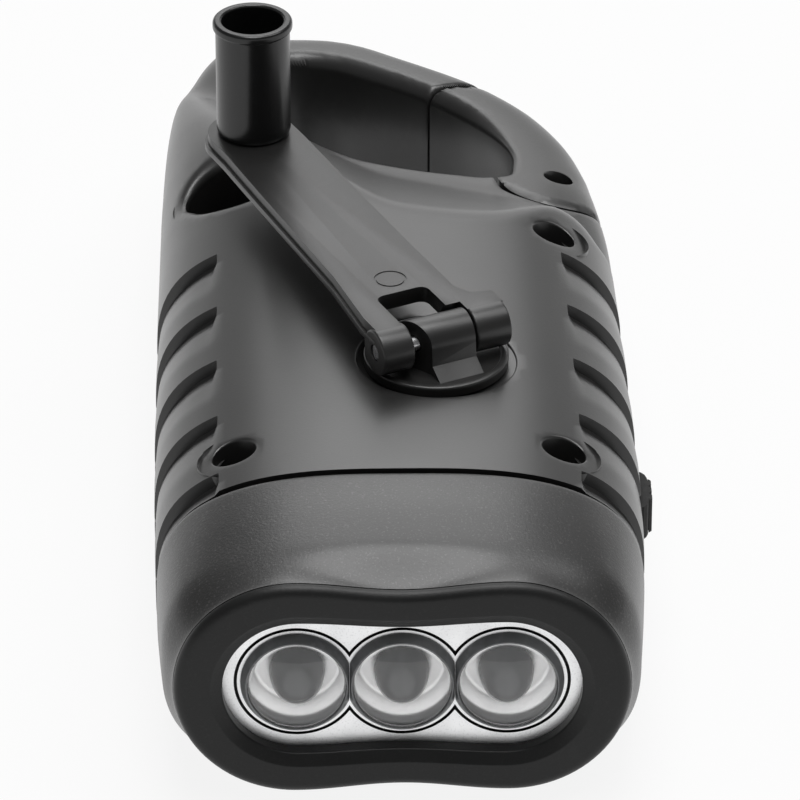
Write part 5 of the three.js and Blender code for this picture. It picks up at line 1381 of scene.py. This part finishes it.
class BuildLamps(bpy.types.Operator):
    """Build the chromed plate, the lenses, the reflector cups and the lamps"""
    bl_idname = "flashlight.build_lamps"
    bl_label = "Build lamps"

    def execute(self, context):
        self.build_plate()
        self.build_reflector()
        for i, x in enumerate(LENSES):
            self.build_lens(i, x)
            rear = CUP_REAR - BULB_SINK
            bulb = [(0, rear), (BULB, rear), (BULB, rear - BULB_RIM)]
            bulb += [(BULB * math.cos(a), rear - BULB_RIM - BULB_LENGTH * math.sin(a))
                     for a in np.radians(np.linspace(8, 90, 18))]
            drop = Matrix.Translation((0, 0, -BULB_DROP * MM))
            lamp = turned(f"lamp_{i + 1}", bulb, "lamp", drop @ forward(x))
            dress(lamp, "case", "clear_plastic", "lamp", f"led_{i + 1}")
        paint("lamp_board", "led_board")
        return {"FINISHED"}

    def build_plate(self):
        plate = loft("lamp_plate", plate_outline((PLATE_FRONT, PLATE_REAR)), split=True)
        groove = None
        for x in LENSES:
            ring = rod("groove", GROOVE_INNER, GROOVE_OUTER, PLATE_FRONT - 1, PLATE_FRONT + GROOVE_DEPTH,
                       "plate", forward(x))
            groove = carve(groove, ring, "UNION") if groove else ring
        for x in LENSES:
            core = rod("core", 0, GROOVE_INNER, PLATE_FRONT - 2, PLATE_FRONT + 1, "plate", forward(x))
            carve(groove, core)
        carve(plate, groove)
        for x in LENSES:
            carve(plate, rod("hole", 0, PLATE_HOLE, PLATE_FRONT - 3, PLATE_REAR + 3, "plate", forward(x)))
        soften(plate, 30)
        dress(plate, "case", "chrome_trim", "plate", "lens_plate")

        # The faces in the groove round each lens get the matt black finish: painted shade in the groove of
        # the chromed plate.
        def in_groove_painted_shade(x, y, z):
            away = min(math.hypot(x - lens, z - LAMP_HEIGHT) for lens in LENSES)
            return SLACK < y - PLATE_FRONT < 0.5 and GROOVE_INNER - SLACK < away < GROOVE_OUTER + SLACK

        paint_part(plate, "inside", in_groove_painted_shade)

    def build_reflector(self):
        ends = (REFLECTOR_FRONT, REFLECTOR_FRONT + REFLECTOR_WALL)
        flange = loft("flange", plate_outline(ends), split=True)
        for x in LENSES:
            carve(flange, rod("hole", 0, REFLECTOR_HOLE, REFLECTOR_FRONT - 1, REFLECTOR_FRONT + 2,
                              "chrome", forward(x)))
        section = rounded([
            (0, CUP_REAR), (CUP_OUTER, CUP_REAR), (CUP_OUTER, REFLECTOR_FRONT), (CUP_INNER, REFLECTOR_FRONT),
            (CUP_WAIST, CUP_REAR - 1.2), (CUP_FLOOR, CUP_REAR - 0.4), (0, CUP_REAR - 0.3),
        ], {3: 0.1, 4: 0.8, 5: 0.8})
        cups = [turned("cup", section, "chrome", forward(x)) for x in LENSES]
        dress(joined("lamp_cups", [flange, *cups]), "case", "chrome_trim", "chrome", "reflector")

    def build_lens(self, i, x):
        lens = turned(f"lens_dome_{i + 1}", lens_profile(), "clear", forward(x), 30)
        left = x - LENS_HALF if i else -HALF_WIDTH
        right = x + LENS_HALF if i < 2 else HALF_WIDTH
        for vertex in lens.data.vertices:
            vertex.co.x = min(max(vertex.co.x, left * MM), right * MM)
        dress(lens, "case", "clear_plastic", "clear", f"lens_{i + 1}")
        # The collar of the clear lens gets the grey finish: painted shade for the dim inside seen through
        # it.
        paint_part(lens, "collar", lambda px, py, pz: (
            COLLAR_INNER - LENS_SEAT < math.hypot(px - x, pz - LAMP_HEIGHT)
            and COLLAR_FRONT - SLACK < py < PLATE_FRONT))


# Crank and knob

HUB_PLACE = Matrix.Translation((HUB[0] * MM, HUB[1] * MM, 0))
DISC_TOP = CASE_HEIGHT + 0.6
DISC_LOW = CASE_HEIGHT - RECESS_DEPTH + 0.3
DISC_SINK = 0.3
DISC_FOOT, DISC_RADIUS, DISC_LIP, DISC_FACE = 7.9, 8.0, 7.2, 7.05
SHAFT_LOW, SHAFT_STEP = 21.5, 25.4
SHAFT_END, SHAFT_RADIUS = 2, 3
LUG_LEFT, LUG_RIGHT = -4.25, 2.75
LUG_BORE = 1.0
LUG_SIDE = (
    (-4.5, CASE_HEIGHT), (2.5, CASE_HEIGHT), (2.5, HINGE_HEIGHT), (-BARREL, HINGE_HEIGHT), (-2.75, 32.0),
    (-4.5, DISC_TOP - DISC_SINK))
LUG_SLANT = ((-5.5, 1.6), (-4.3, 1.6), (-2.6, -2.3), (-2.5, -6), (-5.5, -6))
ARM_THICK, ARM_LIP, ARM_INSET = 1.9, 0.7, 0.35
ARM_UNDER = ARM_TOP - ARM_THICK
ARM_END_X, ARM_END_RADIUS = -0.35, 5.3
KNUCKLES = ((-8.3, -4.55), (3.05, 7.3))
KNUCKLE_GAP = 0.6
PIN_LEFT, PIN_RIGHT, PIN_RADIUS, PIN_ROUNDING = -8.15, 7.15, 0.88, 0.15
ARM_BORE, KNOB_END_HOLE = 0.95, 1.25
WINDOW_LEFT, WINDOW_RIGHT, WINDOW_LENGTH, WINDOW_CORNER = -4.9, 1.3, 6.8, 1.2
MARK_PLACE = (-1.5, 9.8)
MARK_INNER, MARK_OUTER, MARK_DEPTH = 1.55, 1.8, 0.1
CUT = 3
ARM_LEFT_SHARES = ((-0.174, 0), (-0.174, 0.07), (-0.151, 0.272), (-0.13, 0.711), (-0.119, 0.92))
ARM_RIGHT_SHARES = (
    (0.104, 0.92), (0.096, 0.6), (0.092, 0.347), (0.092, 0.11), (0.113, 0.068), (0.161, 0.052), (0.161, 0))


def crank_place():
    """The crank's own frame: its Y runs from the hinge to the knob."""
    hinge = HUB - HINGE_OFFSET * polar(CRANK_TURN)
    turn = Matrix.Rotation(math.radians(CRANK_TURN), 4, "Z")
    return Matrix.Translation((hinge[0] * MM, hinge[1] * MM, 0)) @ turn


def barrel(name, left, right, radius=BARREL, rounding=0.3):
    """A rod along X at the hinge, with rounded ends."""
    profile = rounded([(0, left), (radius, left), (radius, right), (0, right)], {1: rounding, 2: rounding})
    place = Matrix.Translation((0, 0, HINGE_HEIGHT * MM)) @ Matrix.Rotation(math.radians(90), 4, "Y")
    return turned(name, profile, "arm", place)


def arm_outline(margin):
    """The arm seen from above, drawn in by a margin."""
    left = [(x * ARM_LENGTH + margin, y * ARM_LENGTH) for x, y in ARM_LEFT_SHARES]
    right = [(x * ARM_LENGTH - margin, y * ARM_LENGTH) for x, y in reversed(ARM_RIGHT_SHARES)]
    end = arc(ARM_END_X, ARM_LENGTH, ARM_END_RADIUS - margin, 0, 180, 48)
    return np.concatenate([[left[0]], right, end, left[::-1][:-1]])


class BuildCrank(bpy.types.Operator):
    """Build the hub with its hinge lug, the arm and the hinge pin"""
    bl_idname = "flashlight.build_crank"
    bl_label = "Build crank"

    def execute(self, context):
        self.build_hub(settings().edge_round)
        self.build_arm(settings().edge_round)
        pin = barrel("hinge_pin_turned", PIN_LEFT, PIN_RIGHT, PIN_RADIUS, PIN_ROUNDING)
        pin.data.transform(crank_place())
        dress(pin, "arm", "steel", "steel", "hinge_pin")
        return {"FINISHED"}

    def build_hub(self, round_by):
        profile = rounded([
            (0, DISC_LOW), (DISC_FOOT, DISC_LOW), (DISC_RADIUS, DISC_TOP), (DISC_LIP, DISC_TOP),
            (DISC_FACE, DISC_TOP - DISC_SINK), (0, DISC_TOP - DISC_SINK),
        ], {2: 0.3, 3: 0.25, 4: 0.1})
        disc = turned("hub", profile, "arm", HUB_PLACE)
        foot = loft("foot", [np.array([(x, y, z) for y, z in LUG_SIDE]) for x in (LUG_LEFT, LUG_RIGHT)])
        carve(foot, barrel("lug_barrel", LUG_LEFT, LUG_RIGHT, BARREL, 0.02), "UNION")
        carve(foot, prism("slant", LUG_SLANT, CASE_HEIGHT - 1, ARM_TOP + 1))
        round_edges(foot, round_by, 30)
        foot.data.transform(crank_place())
        carve(disc, foot, "UNION")
        neck = DISC_LOW + SLACK
        shaft = turned("shaft", [
            (0, SHAFT_LOW), (SHAFT_END, SHAFT_LOW), (SHAFT_END, SHAFT_STEP), (SHAFT_RADIUS, SHAFT_STEP),
            (SHAFT_RADIUS, neck), (0, neck)], "arm", HUB_PLACE)
        carve(disc, shaft, "UNION")
        bore = barrel("bore", -9, 9, LUG_BORE, 0.01)
        bore.data.transform(crank_place())
        carve(disc, bore)
        soften(disc, 50)
        dress(disc, "crank", "case_plastic", "arm", "crank_hub")

    def build_arm(self, round_by):
        arm = prism("arm", arm_outline(ARM_INSET), ARM_UNDER, ARM_TOP)
        carve(arm, prism("lip", arm_outline(0.0), ARM_UNDER, ARM_UNDER + ARM_LIP), "UNION")
        carve(arm, barrel("space", KNUCKLES[0][1], KNUCKLES[1][0], BARREL + KNUCKLE_GAP, 0.01))
        window = rounded([(WINDOW_LEFT, 0), (WINDOW_LEFT, WINDOW_LENGTH), (WINDOW_RIGHT, WINDOW_LENGTH),
                          (WINDOW_RIGHT, 0)], {1: WINDOW_CORNER, 2: WINDOW_CORNER}, 10)
        carve(arm, prism("window", window, ARM_UNDER - CUT, ARM_TOP + CUT))
        round_edges(arm, round_by, 30)
        for left, right in KNUCKLES:
            carve(arm, barrel("knuckle", left, right), "UNION")
        carve(arm, barrel("bore", -12, 12, ARM_BORE, 0.01))
        knob_end = Matrix.Translation((0, ARM_LENGTH * MM, 0))
        carve(arm, rod("hole", 0, KNOB_END_HOLE, ARM_UNDER - CUT, ARM_TOP + CUT, "arm", knob_end))
        mark = Matrix.Translation((MARK_PLACE[0] * MM, MARK_PLACE[1] * MM, 0))
        carve(arm, rod("mark", MARK_INNER, MARK_OUTER, ARM_TOP - MARK_DEPTH, ARM_TOP + 1, "arm", mark))
        arm.data.transform(crank_place())
        soften(arm, 50)
        dress(arm, "arm", "case_plastic", "arm", "crank_arm")


KNOB_GAP = 0.15
KNOB_FOOT, KNOB_RADIUS, KNOB_LIP, KNOB_BORE, KNOB_HOLE = 4.1, 4.25, 4.55, 3.5, 1.3
KNOB_LIP_DEPTH, KNOB_NECK_DEPTH = 0.95, 1.15
KNOB_FLOOR = 2
RIVET, RIVET_HEAD, RIVET_TAIL = 1.2, 2.4, 2.1


class BuildKnob(bpy.types.Operator):
    """Turn the knob and the pin that it runs on"""
    bl_idname = "flashlight.build_knob"
    bl_label = "Build knob"

    def execute(self, context):
        low = ARM_TOP + KNOB_GAP
        top = low + settings().knob_height / MM
        place = crank_place() @ Matrix.Translation((0, ARM_LENGTH * MM, 0))
        knob = turned("knob_sleeve", rounded([
            (KNOB_HOLE, low), (KNOB_FOOT, low), (KNOB_RADIUS, low + 0.5),
            (KNOB_RADIUS, top - KNOB_NECK_DEPTH), (KNOB_LIP, top - KNOB_LIP_DEPTH), (KNOB_LIP, top),
            (KNOB_BORE, top), (KNOB_BORE, low + KNOB_FLOOR), (KNOB_HOLE, low + KNOB_FLOOR), (KNOB_HOLE, low),
        ], {1: 0.2, 2: 0.2, 3: 0.1, 4: 0.25, 5: 0.6, 6: 0.4, 7: 0.4}, 8), "knob", place, 50)
        dress(knob, "knob", "knob_plastic", "knob", "crank_knob")
        head = low + KNOB_FLOOR + SLACK
        pin = turned("knob_rivet", rounded([
            (0, ARM_UNDER - 0.6), (RIVET_TAIL, ARM_UNDER - 0.6), (RIVET_TAIL, ARM_UNDER - SLACK),
            (RIVET, ARM_UNDER - SLACK), (RIVET, head), (RIVET_HEAD, head), (RIVET_HEAD, head + 1),
            (0, head + 1),
        ], {1: 0.2, 6: 0.3}), "steel", place)
        dress(pin, "arm", "steel", "steel", "knob_pin")
        return {"FINISHED"}


# Screws and inner pieces

SCREW_HEIGHT, SHANK_RADIUS, SHANK_LENGTH = 1.4, 1.1, 11.5
SCREW_SINK = 0.8
SCREW_TOP_SHARE, RECESS_RISE_SHARE = 0.82, 0.95
RECESS_LENGTH_SHARE, RECESS_WIDTH_SHARE = 1.25, 0.28
SHANK_OVERLAP = 0.00002


def screw_tree():
    """Screws with a crossed recess at every point of a mesh."""
    name = "Crossed screws"
    if name in bpy.data.node_groups:
        return bpy.data.node_groups[name]
    sizes = ("Head radius", "Head height", "Shank radius", "Shank length")
    group, tree, given = start_group(name, (
        ("Places", "Geometry"), *((size, "Float") for size in sizes), ("Material", "Material")))
    radius, height, shank, length = (Value(tree, given.outputs[size]) for size in sizes)

    def vector(x=0.0, y=0.0, z=0.0):
        return tree.node("ShaderNodeCombineXYZ", None, {"X": x, "Y": y, "Z": z}).outputs[0]

    def moved(mesh, offset):
        return tree.node("GeometryNodeTransform", None, {"Geometry": mesh, "Translation": offset}).outputs[0]

    head = tree.node("GeometryNodeMeshCone", {"fill_type": "NGON"}, {
        "Vertices": 40, "Radius Top": radius * SCREW_TOP_SHARE, "Radius Bottom": radius, "Depth": height})
    stem = tree.node("GeometryNodeMeshCylinder", {"fill_type": "NGON"}, {
        "Vertices": 24, "Radius": shank, "Depth": length})
    long, wide = radius * RECESS_LENGTH_SHARE, radius * RECESS_WIDTH_SHARE
    bars = [tree.node("GeometryNodeMeshCube", None, {"Size": size}).outputs["Mesh"] for size in (
        vector(long, wide, height), vector(wide, long, height))]
    cross = tree.node("GeometryNodeMeshBoolean", {"operation": "UNION"})
    for bar in bars:
        tree.tree.links.new(moved(bar, vector(z=height * RECESS_RISE_SHARE)), cross.inputs["Mesh 2"])
    cut = tree.node("GeometryNodeMeshBoolean", {"operation": "DIFFERENCE"}, {
        "Mesh 1": head.outputs["Mesh"], "Mesh 2": cross.outputs["Mesh"]})
    whole = tree.node("GeometryNodeJoinGeometry")
    tree.tree.links.new(cut.outputs["Mesh"], whole.inputs[0])
    sunk = vector(z=length * -0.5 + SHANK_OVERLAP)
    tree.tree.links.new(moved(stem.outputs["Mesh"], sunk), whole.inputs[0])
    spots = tree.node("GeometryNodeInstanceOnPoints", None, {
        "Points": given.outputs["Places"], "Instance": whole.outputs[0]})
    finish_group(tree, given, spots.outputs[0])
    return group


class BuildScrews(bpy.types.Operator):
    """Place the case screws and the socket screw, and give the hub and gearbox screws a finish"""
    bl_idname = "flashlight.build_screws"
    bl_label = "Build screws"

    def execute(self, context):
        places = [(x, y, SCREW_SEAT + SCREW_SINK) for x, y in SCREWS] + [(*SOCKET, SOCKET_FLOOR)]
        screws = make_object("case_fixings", places)
        run_tree(screws, screw_tree(), {
            "Head radius": settings().screw_head, "Head height": SCREW_HEIGHT * MM,
            "Shank radius": SHANK_RADIUS * MM, "Shank length": SHANK_LENGTH * MM,
            "Material": finishes["screw"]})
        soften(screws)
        dress(screws, "case", "steel", "screw", *(f"case_screw_{i}" for i in range(1, 4)), "socket_screw")
        paint("steel", "hub_screw", *(f"gearbox_screw_{i}" for i in range(1, 5)))
        return {"FINISHED"}


class BuildInside(bpy.types.Operator):
    """Finish the switch, the solar panel, the gears, the dynamo, the battery and the leads"""
    bl_idname = "flashlight.build_inside"
    bl_label = "Finish inner pieces"

    def execute(self, context):
        paint("inside", "switch_body", "switch_button", "rectifier", "capacitor")
        paint("gear", "drive_gear", "first_gear", "second_gear", "gearbox_plate", "rotor_pinion")
        paint("board", "main_board")
        paint("steel", "first_axle", "second_axle", "first_spacer", "second_spacer", "rotor_shaft")
        paint("steel", "stator_frame", *(f"battery_cell_{i}" for i in range(1, 4)))
        paint("steel", "battery_tab_left", "battery_tab_right")
        paint("magnet", "rotor_magnet")
        paint("copper", "stator_coil")
        paint("clear", "solar_window")
        paint("solar", "solar_cell")
        paint("lead", "led_lead", "battery_lead", "dynamo_lead", "solar_lead")
        return {"FINISHED"}


# Stage. Places are in metres and powers in watts.

STAGE_REACH, STAGE_SIDES, STAGE_DROP = 3000.0, 24, -0.02
FLOOR_GREY, FLOOR_WHITE_SHARE = 0.75, 0.88
# Half sizes in metres of an oval round the object, and its soft edge as shares of them: a painted shadow
# that the object reflects from the floor
SHADE_HALF_WIDTH, SHADE_HALF_LENGTH = 0.025, 0.068
SHADE_EDGE, SHADE_WIDTH = 0.9, 0.2
ROOM_LIGHT, WHITE, GLOSSY_SHARE = 0.1, 1.0, 0.1
LAMPS = (
    ("horizon_strip", (0.0, 1.3, 0.27), (2.8, 0.5), 2.8),
    ("back_softbox", (0.0, 0.755, 0.51), (0.5, 0.5), 0.75),
    ("back_top_softbox", (0.0, 0.579, 0.709), (0.5, 0.5), 1.6),
    ("top_softbox", (0.0, 0.031, 0.919), (0.5, 0.5), 4.2),
    ("front_top_softbox", (0.0, -0.34, 0.87), (0.5, 0.5), 1.3),
    ("right_softbox", (0.443, 0.078, 0.799), (0.5, 0.5), 2.0),
)
LAMP_AIM = Vector((0, 0, 0.015))
CAMERA_AIM = Vector((0.797, 3.016, 5.138)) * MM
CAMERA_PLACE = Vector((-7.986, -625.912, 375.641)) * MM
CLIP = (0.01, 20)
SENSOR_WIDTH = 36.0
FOCAL_LENGTH = 6285 / 800 * SENSOR_WIDTH


def aimed(name, data, place, target):
    """Links a lamp or camera that looks from a place at a target."""
    made = bpy.data.objects.new(name, data)
    made.location = place
    made.rotation_euler = (target - place).to_track_quat("-Z", "Y").to_euler()
    bpy.context.scene.collection.objects.link(made)
    return made


class BuildStage(bpy.types.Operator):
    """Set the pale floor with a painted shadow in the object's reflections, the soft lights, the backdrop
    and the camera
    """
    bl_idname = "flashlight.build_stage"
    bl_label = "Build stage"

    def execute(self, context):
        scene = context.scene
        scene.view_settings.view_transform = "Standard"
        self.build_floor()
        self.build_backdrop(scene)
        for name, place, size, power in LAMPS:
            light = bpy.data.lights.new(name, "AREA")
            light.shape = "ELLIPSE" if size[0] == size[1] else "RECTANGLE"
            light.size, light.size_y = size
            light.energy = power
            aimed(name, light, Vector(place), LAMP_AIM)
        lens = bpy.data.cameras.new("photo_camera")
        lens.sensor_width = SENSOR_WIDTH
        lens.lens = FOCAL_LENGTH
        lens.clip_start, lens.clip_end = CLIP
        scene.camera = aimed("photo_camera", lens, CAMERA_PLACE, CAMERA_AIM)
        return {"FINISHED"}

    def build_floor(self):
        ring = np.column_stack([circle(0, 0, STAGE_REACH, STAGE_SIDES), np.full(STAGE_SIDES, STAGE_DROP)])
        floor = make_object("floor", ring, [tuple(range(STAGE_SIDES))])
        material = bpy.data.materials.new("Pale floor")
        tree = cleared(material)
        # Inside the oval, mirroring and rays through clear parts see the matt floor instead of white: a
        # painted shadow under the object in its reflections. Camera rays see white everywhere.
        split = tree.node("ShaderNodeSeparateXYZ", None, {0: tree.place()})
        across = Value(tree, split.outputs["X"]) * (1 / SHADE_HALF_WIDTH)
        along = Value(tree, split.outputs["Y"]) * (1 / SHADE_HALF_LENGTH)
        away = (across * across + along * along).maths("SQRT").above(SHADE_EDGE, SHADE_WIDTH)
        camera, glossy, through = ray_kinds(tree)
        seen = (camera + (glossy + through) * away).clamped()
        matt = tree.node("ShaderNodeBsdfDiffuse", None, {"Color": (FLOOR_GREY, FLOOR_GREY, FLOOR_GREY, 1)})
        white = tree.node("ShaderNodeEmission", None, {"Color": (1, 1, 1, 1), "Strength": WHITE})
        mixed = tree.node("ShaderNodeMixShader", None, {
            0: seen * FLOOR_WHITE_SHARE, 1: matt.outputs[0], 2: white.outputs[0]})
        tree.node("ShaderNodeOutputMaterial", None, {"Surface": mixed.outputs[0]})
        floor.data.materials.append(material)

    def build_backdrop(self, scene):
        world = bpy.data.worlds.new("Studio")
        scene.world = world
        tree = cleared(world)
        camera, glossy, through = ray_kinds(tree)
        seen = (camera + through + glossy * GLOSSY_SHARE).clamped()
        room = tree.node("ShaderNodeBackground", None, {"Color": (1, 1, 1, 1), "Strength": ROOM_LIGHT})
        white = tree.node("ShaderNodeBackground", None, {"Color": (1, 1, 1, 1), "Strength": WHITE})
        mixed = tree.node("ShaderNodeMixShader", None, {0: seen, 1: room.outputs[0], 2: white.outputs[0]})
        tree.node("ShaderNodeOutputWorld", None, {"Surface": mixed.outputs[0]})


OPERATORS = (
    BuildStage, BuildCase, BuildGate, BuildHead, BuildLamps, BuildCrank, BuildKnob, BuildScrews, BuildInside)


class FlashlightPanel(bpy.types.Panel):
    """Sizes of the flashlight and the operators that build it"""
    bl_idname = "VIEW3D_PT_flashlight"
    bl_label = "Flashlight"
    bl_space_type = "VIEW_3D"
    bl_region_type = "UI"
    bl_category = "Flashlight"

    def draw(self, context):
        for name in FlashlightSettings.__annotations__:
            self.layout.prop(context.scene.flashlight, name)
        for operator in OPERATORS:
            self.layout.operator(operator.bl_idname)


CLASSES = (FlashlightSettings, *OPERATORS, FlashlightPanel)


def register():
    for cls in CLASSES:
        bpy.utils.register_class(cls)
    bpy.types.Scene.flashlight = bpy.props.PointerProperty(type=FlashlightSettings)


def unregister():
    del bpy.types.Scene.flashlight
    for cls in reversed(CLASSES):
        bpy.utils.unregister_class(cls)


def main():
    register()
    make_finishes()
    bpy.ops.flashlight.build_stage()
    bpy.ops.flashlight.build_case()
    bpy.ops.flashlight.build_gate()
    bpy.ops.flashlight.build_head()
    bpy.ops.flashlight.build_lamps()
    bpy.ops.flashlight.build_crank()
    bpy.ops.flashlight.build_knob()
    bpy.ops.flashlight.build_screws()
    bpy.ops.flashlight.build_inside()


if __name__ == "__main__":
    main()
